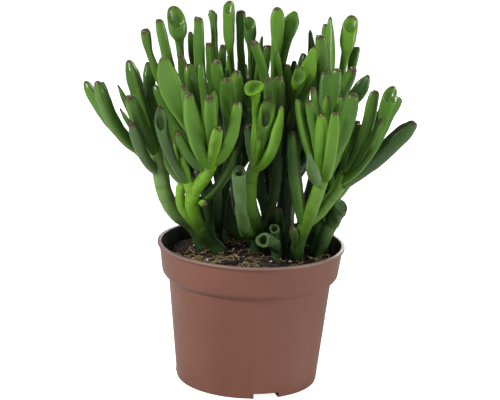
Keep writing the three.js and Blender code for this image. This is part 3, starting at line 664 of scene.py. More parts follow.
stems["stem_left_front"] = {
    "foot": (-20, 4),
    "limbs": [
        (4.6, 4.2, [(-25, 88, 2), (-31.5, 96, -4), (-37, 105, -10), (-39, 115, -15), (-36.5, 124, -19),
                    (-31, 131, -23), (-28, 139, -27), (-27, 147, -30)]),
        (4.4, 4, [(-38, 119, -17), (-41, 128, -20)]),
        (3, 3.2, [(-32, 97, -7), (-41, 105, -11), (-46, 115, -14), (-45, 126, -16), (-40, 127, -18)]),
    ],
    "tufts": [
        ((-26.5, 149, -30), (-28.5, 137, -26), [
            ("paddle", -59.2, 207.8, -40, 15, 0.1, 20), (-46, 190.4, -44, 6.5, 0.12),
            (-43, 185.8, -56, 9.4, 0.16), (-29.6, 184.5, -46, 7.8, 0.05), (-26.5, 187.5, -38, 5, 0),
            (-64, 190, -26, 7, 0.1), (-23.2, 164, -58, 7.4, 0), ("point", -28, 168.5, -40, 4.5, 0),
            (-12, 181, -46, 8, 0.22), (-49.2, 161, -26, 8, 0.15), (-43.8, 204.5, -20, 9, 0.05),
            (-35.6, 204.5, -26, 6, 0),
        ]),
        ((-41, 129, -20), (-37, 120, -17), [
            ("gutter", -61, 175.5, -38, 7.8, 0.15, 0), (-57, 151, -6, 7, 0.2),
            ("point", -51, 156, -22, 6, 0.1), ("point", -47, 147, -30, 6, 0),
        ]),
        ((-36, 116, -14), (-36, 106, -9), [(-12, 152, -20, 7, 0.15), (-28.5, 113, -22, 4.5, 0)]),
    ],
    "tones": (1, 0.52, 0.48, 0.62, 0.6, 0.6, 0.3, 0.9, 0.9, 0.66, 0.38, 0.46, 0.42, -0.2, 0.25, 0.7, 0.8,
              0.12, 0.9),
    "forms": {"bud": [2, 4, 5, 11], "blunt": [10]},
}

stems["stem_centre_left"] = {
    "foot": (-21, 20),
    "limbs": [
        (3.4, 3.4, [(-22, 92, 15), (-21, 103, 10), (-19.5, 116, 6), (-18, 128, 2), (-16, 142, 0),
                    (-14, 155, 0)]),
    ],
    "tufts": [
        ((-14, 155, 0), (-16, 142, 0), [
            ("point", -13, 201, -20, 8.5, 0), (-19.3, 196, -28, 8.6, 0.05), (-26, 207.5, -10, 9, 0.1),
            ("point", -18.7, 210.5, 0, 5.5, 0),
        ]),
        ((-22, 96, 13), (-22, 88, 16), [(-22.5, 128, -8, 5.5, 0.05)]),
    ],
    "tones": (0.34, 0.6, 0.5, 0.55, 0.6, -0.35),
    "forms": {"bud": [0], "blunt": [1, 2]},
}

stems["stem_centre_front"] = {
    "foot": (4, 8),
    "limbs": [
        (4.4, 4.2, [(4, 92, 5), (3, 101, 0), (-0.6, 111, -6), (-2.2, 121, -10), (-1.6, 132, -14),
                    (1, 142, -18)]),
        (3.4, 3.2, [(5, 98, 1), (10.5, 110, 3), (13.5, 123, 5), (14.8, 137, 6), (14.5, 150, 5)]),
        (3.4, 4.2, [(4, 95, 2), (0, 95.5, -4), (-4.6, 97, -8)]),
    ],
    "tufts": [
        ((1, 142, -18), (-1, 132, -14), [
            (-5, 167, -18, 6, 0.1), ("gutter", 8, 183.5, -44, 9.8, 0.05, 0),
            ("point", 15.8, 179.5, -40, 7.5, 0.2), ("cup", -2.4, 190, -46, 12.4, -0.25, 0),
            ("point", 2.5, 158.5, -38, 4, 0),
        ]),
        ((-4, 97, -9), (-2, 93, -6), [("trumpet", -9.5, 138, -34, 9, 0.1, 0)]),
        ((14.5, 150, 5), (14.5, 137, 6), [
            (13, 198.5, -12, 8.5, 0), (6.5, 197.5, 0, 6.5, 0.1), (-3.6, 220.5, -4, 7, -0.1),
        ]),
    ],
    "tones": (0.8, -0.2, 0.72, 0.85, 0.8, 0.8, -0.46, 0.3, 0.25, 0.5),
    "forms": {"blunt": [0, 6, 8], "pipe": [5], "bud": [7]},
}

stems["shoot_front"] = {
    "foot": (17, -1),
    "limbs": [
        (4, 2.8, [(17, 87, -1), (18, 96, 0), (18.5, 104, 1)]),
    ],
    "tufts": [
        ((17, 87, -1), (17, 80, -1), [("trumpet", 7, 91, -18, 9, -0.1, -20)]),
        ((17.5, 89, -1), (17, 80, -1), [("trumpet", 14, 100, -14, 6.5, 0, 0)]),
        ((18, 100, 1), (17, 87, -1), [(16, 114, -8, 5, 0)]),
    ],
    "tones": (-0.3, -0.3, -0.35, 0.3),
}

stems["stem_centre_right"] = {
    "foot": (19, 24),
    "limbs": [
        (4.8, 4.4, [(20, 94, 20), (20, 108, 16), (20.5, 125, 14), (21, 145, 13), (21, 160, 12),
                    (20, 172, 12)]),
        (3.6, 3.4, [(20.5, 156, 12), (15.5, 168, 10), (11, 179, 8)]),
    ],
    "tufts": [
        ((11, 180, 8), (15.5, 168, 10), [
            (10.8, 241.5, 2, 9.3, 0, 0), ("paddle", 22.2, 239, 14, 10.2, -0.16, 0),
        ]),
        ((20, 172, 12), (21, 160, 12), [
            ("paddle", 34.4, 216.5, -12, 10.5, 0.06, 10), ("spoon", 26.3, 203, -16, 8.6, 0.03, 0),
            (11, 214, -8, 5, 0), (18, 206.4, 6, 7, 0), (22.7, 208.5, 18, 5.4, 0),
            (28.2, 213.5, 22, 6.8, 0.1),
        ]),
        ((21, 134, 14), (20.5, 122, 14), [(28, 172, 6, 7, 0.12), (14, 176, 18, 6.5, 0.12)]),
    ],
    "tones": (0.1, 0.62, 0.4, 0.8, 0.75, 0.5, 0.2, 0.15, 0.15, 0.15, 0.1),
    "forms": {"club": [0], "kite": [1], "keel": [2], "bud": [4, 6, 7]},
}

stems["stem_right_front"] = {
    "foot": (29, -3),
    "limbs": [
        (4.6, 4, [(30, 89, -5), (31.5, 96, -8), (34.5, 104, -12), (38, 114, -17), (41, 124, -20),
                  (43.5, 133, -23), (45.5, 141, -26)]),
        (3.6, 4, [(34.5, 103, -10), (41, 109, -8), (48, 118, -8), (54.5, 129, -10), (57, 136, -11)]),
    ],
    "tufts": [
        ((29.5, 86, -4), (29, 80, -4), [(26, 101.5, -16, 5.5, 0)]),
        ((34, 103, -11), (31.5, 96, -8), [(23, 164.5, -20, 8.8, 0.08)]),
        ((46, 143, -26), (43, 131, -22), [
            ("point", 34.4, 150.5, -40, 8.4, 0.14), ("point", 41.3, 175.5, -54, 8, 0.14),
            (49.5, 177, -48, 7.6, 0.25), (60.4, 189, -36, 9.2, 0.1, 0), (25.5, 184.5, -38, 6.5, 0.1),
            (32.5, 184, -44, 6, 0), (35.5, 192.5, -26, 7, 0.05), (44, 187.5, -36, 6, 0),
            (52, 187.5, -28, 6, 0.1), (42.3, 203, -16, 8, 0), (49, 205, -20, 7.5, 0.05),
        ]),
        ((57, 137, -11), (52, 125, -9), [
            (100.6, 172.6, -30, 11.4, 0.025, 10), ("spoon", 84.4, 194.2, -18, 9.2, 0.16, 20),
            ("cup", 87.2, 187.2, -32, 9, 0.14, 60), (73.3, 192.4, -12, 9, 0.15),
            ("point", 79.8, 187.5, -4, 5.6, 0.12), (79, 174, -30, 6.6, 0.1), (65.5, 170, 4, 7, 0.05),
        ]),
    ],
    "tones": (0.66, 0.3, 0.22, -0.55, 0.75, 0.64, 0.4, 0.5, 0.5, 0.42, 0.65, 0.5, 0.35, 0.35, -0.08, 0.4,
              0.45, 0.4, 0.4, 0.3, 0.2),
    "forms": {"spear": [2], "bud": [3, 6, 7, 9, 10, 13, 18], "blunt": [5, 12, 16]},
}

stems["stem_right_back"] = {
    "foot": (44, 3),
    "limbs": [
        (4.4, 5, [(45.5, 91, 3), (48, 99, 4), (50, 104, 6)]),
    ],
    "tufts": [
        ((49.5, 103, 5), (47, 96, 4), [
            ("trumpet", 57.2, 119.5, 2, 11.6, 0, -60), (52.5, 130, 20, 7.5, 0.1), (40, 140, 20, 8, 0.1),
        ]),
    ],
    "tones": (-0.1, -0.12, 0.1, 0.1),
    "forms": {"stump": [0]},
}

stems["stem_back_left"] = {
    "foot": (-19, 34),
    "limbs": [
        (4.8, 4.4, [(-24, 98, 32), (-28.6, 119, 27), (-34, 140, 20), (-39, 158, 16), (-42, 173, 13)]),
    ],
    "tufts": [
        ((-42, 174, 13), (-39, 159, 16), [
            (-71.2, 224.6, 6, 6.4, 0.15, 0), (-62.3, 231.6, 0, 7.2, 0.1),
            ("spoon", -53.3, 238.6, 0, 12, -0.02, -20), (-48.3, 209.5, -6, 6.5, 0),
        ]),
        ((-33.5, 138, 20), (-28, 120, 26), [(-50, 176, 26, 7.5, 0.15), (-28, 168, 30, 7, 0.12)]),
    ],
    "tones": (0.1, 0.5, 0.5, 0.4, 0.3, 0.1, 0.1, 0.05),
    "forms": {"flared": [0], "blunt": [1], "bud": [3]},
}

stems["stem_back_middle"] = {
    "foot": (-3, 36),
    "limbs": [
        (4.8, 4.2, [(-12, 100, 33), (-19.5, 124, 27), (-23.5, 148, 20), (-25, 170, 15)]),
    ],
    "tufts": [
        ((-25, 171, 15), (-24, 152, 19), [
            (-37.9, 234, 8, 7.8, 0.26), (-42.8, 224, 16, 6.4, 0.15), (-30.3, 239, 16, 6.8, -0.25),
            (-31.3, 217.5, -2, 6, 0), (-22.4, 217, 6, 5.6, 0),
        ]),
        ((-20, 131, 25), (-17, 116, 29), [
            (-26, 164, 34, 7, 0.15), (-8, 166, 30, 7, 0.12), (-11, 158, 42, 8, 0.3),
        ]),
    ],
    "tones": (0.1, 0.5, 0.5, 0.5, 0.4, 0.45, 0.1, 0.1, 0.05),
    "forms": {"blunt": [0], "bud": [1], "club": [2]},
}

stems["stem_back_tall"] = {
    "foot": (11, 38),
    "limbs": [
        (4.6, 4.2, [(10.8, 104, 35), (8.6, 114, 33), (4.4, 126, 31), (0.6, 150, 25), (-3, 176, 20)]),
        (3.6, 3.6, [(8.5, 98, 36), (11.5, 118, 34), (10, 142, 32), (8, 164, 30)]),
    ],
    "tufts": [
        ((-3, 176, 20), (-1, 162, 23), [
            ("spoon", -19.4, 243.9, 12, 7.8, 0.26, 10), (-12.2, 238.6, 20, 6.4, 0.25, 0),
            ("spoon", -6.5, 234, 10, 7.6, 0, 0), ("point", 2, 223, 14, 4.5, 0), (-2, 213, 30, 7.5, 0.1),
            (5.2, 218, 18, 8, 0.05),
        ]),
        ((3.4, 132, 29), (6, 118, 32), [(-3, 172, 36, 7, 0.15), (13, 168, 34, 7, 0.12)]),
    ],
    "tones": (0.05, 0.62, 0.35, 0.3, 0.3, 0.3, 0.3, 0.1, 0.1),
    "forms": {"flared": [1], "blunt": [5]},
}

stems["stem_back_right"] = {
    "foot": (31, 30),
    "limbs": [
        (4.8, 4.2, [(32, 98, 29), (36, 120, 25), (41, 144, 17), (46, 167, 9)]),
    ],
    "tufts": [
        ((46, 167, 9), (42, 148, 16), [
            (37.9, 225.8, 4, 8.5, 0.05), ("point", 43.4, 236.8, 10, 8.5, 0), (40.6, 232.3, 20, 6, 0.1),
            ("point", 31.4, 228, 24, 7.6, 0.08), ("spoon", 57.1, 237.9, 0, 10.3, 0.05, 0),
            (61.2, 219.5, 8, 6.5, 0.05), (59.9, 205.5, -6, 8.6, -0.06),
            ("paddle", 69.6, 201, 12, 10, 0, -20),
        ]),
        ((39.5, 134, 21), (36, 120, 25), [(33, 170, 32, 7, 0.12), (53, 168, 24, 7, 0.12)]),
    ],
    "tones": (0.08, 0.4, 0.7, 0.45, 0.15, 0.68, 0.3, 0.3, 0, 0.1, 0.1),
    "forms": {"blunt": [0], "bud": [2], "club": [5], "kite": [7]},
}

# Stems at the back, leafy all round, and their tones by rule: foot, top, leaves, reach, rise, turn.
rearStems = {
    "stem_rear_left": ((-34, 29), (-52, 42, 146), 10, 25, 44, 20),
    "stem_rear_middle": ((-9, 45), (-16, 54, 156), 11, 23, 40, 75),
    "stem_rear_right": ((23, 39.5), (28, 52, 150), 11, 26, 42, 130),
    "stem_rear_side": ((42.5, 17.5), (56, 34, 135), 10, 18, 40, 60),
}

rearLeaf = {
    "kinds": ("finger", "trumpet", "finger", "spoon", "finger"),
    "widths": (8.5, 7, 9.5, 8, 7.5),
    "forms": ("finger", "bud", "blunt", "flared"),  # what a finger may be
    "bow": 0.16,
    "spacing": 3.8,
    "goldenAngle": 137.5,
    "follow": 0.5,
    "low": 0.85,
    "inner": 0.3,
    "stemRadii": (4.8, 4.4),
    "kinkHeight": 98,
    "kinkLean": 0.1,
    "limbTone": 0.15,
    "tone": 0.35,
    # painted shade: how much darker a rear leaf is for each millimetre further back
    "toneFall": 0.003,
    "toneSpread": 0.14,
    "seed": 41,
}


# How a kind of leaf is shaped. rings, flat and slant are those of the solid leaf. girth and drop are the fine
# outline: along a walk from the leaf's foot up its skin, over the rim at rimPlace and down into the mouth,
# its girth as a share of the full one and how far it lies under the tip, in half-widths. Both are written
# in hundredths and start at nothing, and the girth ends there too.
rimPlace = 0.76
sharpDrop = [(72, 0), (80, -12), (90, -16), (100, -16)]
leafKinds = {}
leafKinds["finger"] = {
    "flat": 0.88, "slant": 0.3, "groove": 0.16, "hollow": 0, "brown": 1,
    "rings": [(0, 0.7), (0.35, 0.92), (0.76, 1), (1, 0.68)],
    "girth": [(2, 70), (26, 92), (50, 100), (58, 98), (64, 93), (70, 83), (76, 68), (80, 60), (84, 52),
              (88, 42), (92, 30), (96, 16)],
    "drop": [(60, 0), (66, 12), (70, 24), (76, 42), (80, 20), (84, 7), (88, 3), (92, 10), (96, 24),
             (100, 32)],
}
leafKinds["point"] = {
    "flat": 0.8, "slant": 0, "groove": 0.14, "hollow": 0, "brown": 1,
    "rings": [(0, 0.66), (0.35, 0.9), (0.72, 1), (1, 0.26)],
    "girth": [(2, 66), (26, 90), (50, 100), (58, 92), (66, 68), (70, 54), (76, 36), (82, 24), (88, 16),
              (94, 9)],
    "drop": [(62, 0), (70, 20), (76, 50), (82, 30), (88, 16), (94, 6), (100, 0)],
}
leafKinds["trumpet"] = {
    "flat": 0.9, "slant": 0.8, "groove": 0.16, "hollow": 1, "brown": 0.25,
    "rings": [(0, 0.84), (0.35, 0.92), (0.74, 0.9), (1, 1)],
    "girth": [(2, 84), (26, 92), (56, 90), (68, 96), (74, 100), (78, 97), (82, 88), (86, 72), (90, 57),
              (94, 48), (98, 36)],
    "drop": [(71, 0), (76, 2), (80, -8), (84, -8), (88, 5), (92, 40), (96, 100), (100, 130)],
}
leafKinds["spoon"] = {
    "flat": 0.7, "slant": 2.2, "groove": 0.06, "hollow": 0.55, "brown": 0.8,
    "rings": [(0, 0.55), (0.35, 0.5), (0.72, 0.53), (0.88, 1), (1, 0.84)],
    "girth": [(2, 55), (26, 50), (54, 52), (59, 64), (65, 93), (70, 100), (76, 94), (79, 88), (82, 79),
              (86, 64), (92, 42)],
    "drop": [(74, 0), (78, -6), (81, 2), (85, 26), (92, 56), (100, 70)],
}
leafKinds["cup"] = {
    "flat": 0.74, "slant": 0.5, "groove": 0.1, "hollow": 0.2, "brown": 0.2,
    "rings": [(0, 0.5), (0.45, 0.46), (0.8, 0.56), (0.92, 0.84), (1, 1)],
    "girth": [(2, 50), (34, 46), (58, 52), (66, 68), (72, 92), (75, 100), (78, 97), (82, 86), (87, 66),
              (92, 45), (97, 20)],
    "drop": [(72, 0), (76, 0), (80, -2), (84, 10), (90, 36), (96, 58), (100, 62)],
}
leafKinds["gutter"] = {
    "flat": 0.85, "slant": 4.2, "groove": 0.2, "hollow": 1, "brown": 1,
    "rings": [(0, 0.6), (0.35, 0.78), (0.72, 1), (1, 0.86)],
    "girth": [(2, 60), (26, 78), (50, 96), (62, 100), (70, 98), (76, 90), (79, 80), (82, 68), (86, 56),
              (90, 47), (95, 36)],
    "drop": [(72, 0), (76, 5), (80, 0), (84, 20), (88, 60), (92, 110), (96, 180), (100, 240)],
}
leafKinds["paddle"] = {
    "flat": 0.42, "slant": 0, "groove": 0.3, "hollow": 0, "brown": 0.8,
    "rings": [(0, 0.4), (0.4, 0.5), (0.62, 0.8), (0.8, 1), (0.95, 0.6), (1, 0.25)],
    "girth": [(2, 40), (30, 50), (40, 62), (50, 87), (58, 100), (64, 97), (70, 81), (76, 57), (80, 46),
              (85, 33), (90, 21), (95, 10)],
    "drop": [(64, 0), (70, 15), (76, 50), (80, 33), (85, 18), (90, 8), (95, 2), (100, 0)],
}

# finer forms that some leaves take
leafKinds["bud"] = {
    "flat": 0.9, "slant": 0.15, "groove": 0.14, "hollow": 0, "brown": 0.85,
    "girth": [(2, 70), (26, 92), (50, 100), (58, 99), (64, 95), (68, 89), (72, 80), (76, 68), (80, 58),
              (84, 47), (88, 36), (92, 24), (96, 12)],
    "drop": [(58, 0), (64, 12), (68, 26), (72, 45), (76, 70), (80, 44), (84, 25), (88, 12), (92, 5), (96, 3),
             (100, 6)],
}
leafKinds["blunt"] = {
    "flat": 0.88, "slant": 0.35, "groove": 0.16, "hollow": 0, "brown": 1,
    "girth": [(2, 70), (26, 90), (50, 100), (60, 100), (66, 98), (70, 94), (73, 89), (76, 82), (80, 72),
              (84, 60), (88, 46), (92, 32), (96, 16)],
    "drop": [(60, 0), (66, 10), (70, 24), (76, 55), (80, 32), (84, 15), (88, 6), (92, 8), (96, 18),
             (100, 24)],
}
leafKinds["flared"] = {
    "flat": 0.9, "slant": 0.3, "groove": 0.1, "hollow": 0, "brown": 1,
    "girth": [(2, 72), (26, 88), (44, 86), (54, 78), (60, 74), (64, 78), (68, 90), (71, 98), (74, 100),
              (77, 94), (80, 84), (84, 67), (88, 50), (93, 30)],
    "drop": [(62, 0), (68, 12), (72, 30), (76, 54), (79, 24), (82, 6), (85, 0), (88, 8), (93, 30),
             (100, 40)],
}
leafKinds["club"] = {
    "flat": 0.9, "slant": 0.5, "groove": 0.24, "hollow": 0, "brown": 1,
    "girth": [(2, 62), (26, 70), (48, 76), (56, 84), (63, 96), (68, 100), (72, 97), (76, 86), (80, 74),
              (84, 61), (88, 47), (92, 32), (96, 16)],
    "drop": [(60, 0), (66, 10), (70, 28), (76, 66), (80, 40), (84, 20), (88, 8), (92, 4), (96, 8),
             (100, 12)],
}
leafKinds["pipe"] = {
    "flat": 0.92, "slant": 1.25, "groove": 0.1, "hollow": 1, "brown": 0.5,
    "girth": [(2, 84), (26, 92), (56, 90), (68, 94), (74, 98), (77, 96), (80, 88), (84, 72), (87, 57),
              (90, 45), (93, 38), (97, 30)],
    "drop": [(71, 0), (75, 6), (78, -6), (82, -10), (86, -2), (89, 14), (92, 50), (96, 100), (100, 120)],
}
leafKinds["spear"] = {
    "flat": 0.62, "slant": 0.5, "groove": 0.2, "hollow": 0, "brown": 0.2,
    "girth": [(2, 62), (16, 84), (30, 100), (42, 97), (54, 80), (64, 56), (71, 38), (76, 27), (82, 20),
              (90, 12)],
    "drop": sharpDrop,
}
leafKinds["keel"] = {
    "flat": 0.62, "slant": 0.4, "groove": 0.3, "hollow": 0, "brown": 0.5,
    "girth": [(2, 45), (25, 60), (40, 86), (50, 100), (58, 97), (66, 76), (72, 50), (76, 34), (82, 24),
              (90, 14)],
    "drop": sharpDrop,
}
leafKinds["kite"] = {
    "flat": 0.66, "slant": 0.4, "groove": 0.3, "hollow": 0, "brown": 0.5,
    "girth": [(2, 48), (30, 56), (46, 76), (58, 98), (63, 100), (68, 88), (73, 58), (76, 36), (82, 24),
              (90, 14)],
    "drop": sharpDrop,
}
leafKinds["stump"] = {
    "flat": 0.92, "slant": 0.7, "groove": 0, "hollow": 0, "brown": 0.35,
    "girth": [(2, 72), (14, 76), (30, 84), (46, 95), (60, 100), (70, 98), (76, 90), (82, 74), (88, 54),
              (94, 30)],
    "drop": [(66, 0), (72, 14), (78, 40), (84, 36), (90, 34), (100, 40)],
}

kindOrder = list(leafKinds)

leafPlacing = {
    "spacing": 1.5,  # between leaf bases along a stem's end
    "spacedLength": 15,  # the most that a tuft's bases take up
    "baseOut": 1.4,
    "uprightReach": 2,
    "clearance": 0.8,  # between leaves of different stems
    "samples": 17,
    "lengthSamples": 12,
    "rootShare": 0.35,  # leaves of one stem may meet below this
    "ownWeight": 0.25,
    "give": 30,  # the furthest push, either way
    "giveStep": 2,
    "giveCost": 0.03,
    "rounds": 3,
}

stemFoot = {"top": 82.1, "bottom": 68}


def seen(point):
    across, up, y = point
    share = (tableEye["distance"] + y) / tableEye["distance"]
    return np.array((across * share, y, tableEye["height"] + (up - tableEye["height"]) * share))


def unit(vector):
    return vector / np.linalg.norm(vector)


def spineOf(base, tip, bow):
    way = tip - base
    rise = np.array((0, 0, way[2]))
    aside = way - rise
    bends = [base + aside * (place + bow) + rise * (place - bow) for place in (1 / 3, 2 / 3)]
    return np.array([base, *bends, tip])


def spinePoints(spine, shares):
    t = np.asarray(shares, float)[..., None]
    a, b, c, d = spine
    return (1 - t) ** 3 * a + 3 * t * (1 - t) ** 2 * b + 3 * t**2 * (1 - t) * c + t**3 * d


def curvePoint(points, share):
    # a centripetal curve through the points
    spans = len(points) - 1
    index = min(int(share * spans), spans - 1)
    t = share * spans - index
    p1, p2 = points[index], points[index + 1]
    p0 = points[index - 1] if index > 0 else 2 * points[0] - points[1]
    p3 = points[index + 2] if index + 2 <= spans else 2 * points[-1] - points[-2]
    d0, d1, d2 = [max(np.sum((q - p) ** 2) ** 0.25, 1e-4) for p, q in ((p0, p1), (p1, p2), (p2, p3))]
    slope1 = ((p1 - p0) / d0 - (p2 - p0) / (d0 + d1) + (p2 - p1) / d1) * d1
    slope2 = ((p2 - p1) / d1 - (p3 - p1) / (d1 + d2) + (p3 - p2) / d2) * d1
    rest = -3 * p1 + 3 * p2 - 2 * slope1 - slope2
    return p1 + slope1 * t + rest * t**2 + (2 * p1 - 2 * p2 + slope1 + slope2) * t**3


def rooted(top, below, leaves, spacing):
    # the more upright a leaf, the higher its base on the stem
    down = unit(below - top)

    def spread(one):
        return math.hypot(*(one["tip"] - top)[:2]) / (one["tip"][2] - top[2])

    for rank, one in enumerate(sorted(leaves, key=spread)):
        outward = (one["tip"] - top) * (1, 1, 0)
        one["base"] = top + down * rank * spacing + unit(outward) * leafPlacing["baseOut"]
    return leaves


def frontPlant(name, stem):
    start = np.array((*stem["foot"], stemFoot["top"]), float)
    limbs, leaves = [], []
    for first, last, route in stem["limbs"]:
        points = [seen(point) for point in route]
        limbs.append({"points": points if limbs else [start, *points], "radii": (first, last)})
    for at, before, rows in stem["tufts"]:
        tuft = []
        for row in rows:
            kind, x, up, y, width, bow, *facing = row if isinstance(row[0], str) else ("finger", *row)
            facing = facing[0] if facing else None
            tuft.append({"kind": kind, "tip": seen((x, up, y)), "width": width, "bow": bow, "facing": facing})
        spacing = min(leafPlacing["spacing"], leafPlacing["spacedLength"] / len(tuft))
        leaves += rooted(seen(at), seen(before), tuft, spacing)
    for one, tone in zip(leaves, stem["tones"][1:]):
        one["tone"] = tone
    for form, counts in stem.get("forms", {}).items():
        for count in counts:
            leaves[count]["form"] = form
    return {"name": name, "foot": stem["foot"], "limbs": limbs, "leaves": leaves, "tone": stem["tones"][0]}


def rearPlant(name, foot, top, count, reach, rise, turn):
    rule = rearLeaf
    start = np.array((*foot, stemFoot["top"]), float)
    below = np.array((*foot, rule["kinkHeight"]), float)
    top = np.array(top, float)
    kink = start + (top - start) * rule["kinkLean"]
    kink[2] = rule["kinkHeight"]
    leaves = []
    for index in range(count):
        angle = math.radians(turn + rule["goldenAngle"] * index)
        outer = 1 - index / (count - 1)
        away = reach * (rule["inner"] + (1 - rule["inner"]) * outer)
        up = rise * (1 + (rule["low"] - 1) * outer)
        sink = outer * (count - 1) * rule["spacing"] * rule["follow"]
        leaves.append({
            "kind": rule["kinds"][index % len(rule["kinds"])],
            "tip": top + (math.cos(angle) * away, math.sin(angle) * away, up - sink),
            "width": rule["widths"][index % len(rule["widths"])],
            "bow": rule["bow"],
            "facing": None,
        })
    leaves = rooted(top, below, leaves, rule["spacing"])
    limbs = [{"points": [start, kink, top], "radii": rule["stemRadii"]}]
    return {"name": name, "foot": foot, "limbs": limbs, "leaves": leaves, "tone": rule["limbTone"]}


def settle(plants):
    # leaves give way to each other in depth, along the line of sight, as the solid ones do
    rule = leafPlacing
    shares = np.linspace(0, 1, rule["samples"])
    leaves, centres, radii, owners = [], [], [], []
    for plant in plants:
        for one in plant["leaves"]:
            leaves.append(one)
            centres.append(spinePoints(spineOf(one["base"], one["tip"], one["bow"]), shares))
            radii.append(one["width"] / 2 * np.interp(shares, *zip(*leafKinds[one["kind"]]["rings"])))
            owners.append(plant["name"])
    for plant in plants:
        for limb in plant["limbs"]:
            centres.append(np.array([curvePoint(limb["points"], share) for share in shares]))
            radii.append(limb["radii"][0] + (limb["radii"][1] - limb["radii"][0]) * shares)
            owners.append(plant["name"])
    centres, radii, owners = np.array(centres), np.array(radii), np.array(owners)
    free = shares >= rule["rootShare"]
    freePairs = (free[:, None] & free[None, :])[:, None, :]
    eyePoint = np.array((0, -tableEye["distance"], tableEye["height"]), float)

    def cost(index, balls, near, step):
        own = (owners[near] == owners[index])[None, :, None]
        apart = np.linalg.norm(balls[:, None, None, :] - centres[near][None], axis=3)
        reach = radii[index][:, None, None] + radii[near][None] + np.where(own, 0, rule["clearance"])
        press = np.where(own, rule["ownWeight"] * freePairs, 1) * np.maximum(reach - apart, 0)
        return press.sum() + step * rule["giveCost"]

    for index, one in [*enumerate(leaves)] * rule["rounds"]:
        sight = unit(one["tip"] - eyePoint)
        middle = centres.mean(axis=1)
        size = np.linalg.norm(centres - middle[:, None], axis=2).max(axis=1)
        gap = np.linalg.norm(middle - middle[index], axis=1) - size - size[index]
        near = np.flatnonzero(gap < 2 * rule["give"])
        near = near[near != index]
        bestCost = math.inf
        for step in range(0, rule["give"] + 1, rule["giveStep"]):
            for push in (-step, step) if step else (0,):
                tip = one["tip"] + sight * push
                balls = spinePoints(spineOf(one["base"], tip, one["bow"]), shares)
                here = cost(index, balls, near, step)
                if here < bestCost:
                    bestCost, bestTip, bestBalls = here, tip, balls
            if bestCost <= (step + rule["giveStep"]) * rule["giveCost"]:
                break
        one["tip"] = bestTip
        centres[index] = bestBalls
    print("leaves settled:", len(leaves))


def leafFrame(one):
    # where the leaf's open side looks, as a twist from its natural side
    spine = spineOf(one["base"], one["tip"], one["bow"])
    outward = (one["tip"] - one["base"]) * (1, 1, 0)
    if np.linalg.norm(outward) < leafPlacing["uprightReach"]:
        outward = np.array((0.0, 1.0, 0.0))
    outward = unit(outward)
    flank = unit(np.cross((0, 0, 1), outward))
    wanted = -outward
    if one["facing"] is not None:
        angle = math.radians(one["facing"])
        wanted = np.array((-math.sin(angle), -math.cos(angle), 0))
    ahead = unit(spine[3] - spine[2])
    wanted = unit(wanted - ahead * np.dot(wanted, ahead))
    natural = unit(np.cross(ahead, flank))
    twist = math.atan2(np.dot(np.cross(natural, wanted), ahead), np.dot(natural, wanted))
    return spine, flank, twist


def walkCurve(name, key):
    points = [(0, 0), *leafKinds[name][key]]
    if key == "girth":
        points.append((100, 0))
    return [(place / 100, height / 100) for place, height in points]


limbLook = {
    "step": 1.6,  # between samples along a limb
    "leastSteps": 8,
    "cap": ((0.3, 0.9), (0.48, 0.66), (0.55, 0.3)),
    "sides": 20,
    "scarWidth": 0.07,
    "skin": {"along": 0.5, "crest": 0.8},
    "lumpScale": 140.0,
    "sockets": {"Scar Spacing": 0.0095, "Scar Swell": 0.014, "Lumps": 0.0014, "Seed": 3.0},
}


def toneByRule(one, rng):
    # painted shade: the further back a leaf, the darker it is painted, with a chance spread
    spread = rearLeaf["toneSpread"]
    tone = rearLeaf["tone"] - rearLeaf["toneFall"] * one["tip"][1] + rng.uniform(-spread, spread)
    return float(np.clip(tone, 0, 1))


def skinRow(tone):
    return {"tone": abs(tone), "bloom": float(tone < 0)}


def limbRows(plant, limb):
    points = limb["points"]
    first, last = limb["radii"]
    length = sum(np.linalg.norm(q - p) for p, q in zip(points, points[1:]))
    steps = max(limbLook["leastSteps"], round(length / limbLook["step"]))
    places = [curvePoint(points, step / steps) for step in range(steps + 1)]
    radii = [first + (last - first) * step / steps for step in range(steps + 1)]
    if limb is plant["limbs"][0]:
        places.insert(0, np.array((*plant["foot"], stemFoot["bottom"]), float))
        radii.insert(0, first)
    end, girth = places[-1], radii[-1]
    forward = unit(end - places[-2])
    for lift, share in limbLook["cap"]:
        places.append(end + forward * girth * lift)
        radii.append(girth * share)
    skin = skinRow(plant["tone"])
    return [{"place": place * mm, "limbRadius": radius * mm, **skin} for place, radius in zip(places, radii)]


def leafRow(one, rng):
    tone = one["tone"] if "tone" in one else toneByRule(one, rng)
    spine, flank, twist = leafFrame(one)
    formName = one.get("form", one["kind"])
    if "tone" not in one and formName == "finger":
        formName = rng.choice(rearLeaf["forms"])
    form = leafKinds[formName]
    line = spinePoints(spine, np.linspace(0, 1, leafPlacing["lengthSamples"]))
    return {
        "place": np.zeros(3),
        "isLeaf": 1.0,
        "flank": flank,
        "twist": twist,
        "halfWidth": one["width"] / 2 * mm,
        "rimShare": float(np.interp(rimPlace, *zip(*walkCurve(formName, "girth")))),
        "kind": kindOrder.index(formName),
        "leafLength": np.linalg.norm(np.diff(line, axis=0), axis=1).sum() * mm,
        "chance": rng.random(),
        **dict(zip(("base", "bendLow", "bendHigh", "tip"), spine * mm)),
        **{label: form[label] for label in ("flat", "slant", "groove", "hollow", "brown")},
        **skinRow(tone),
    }


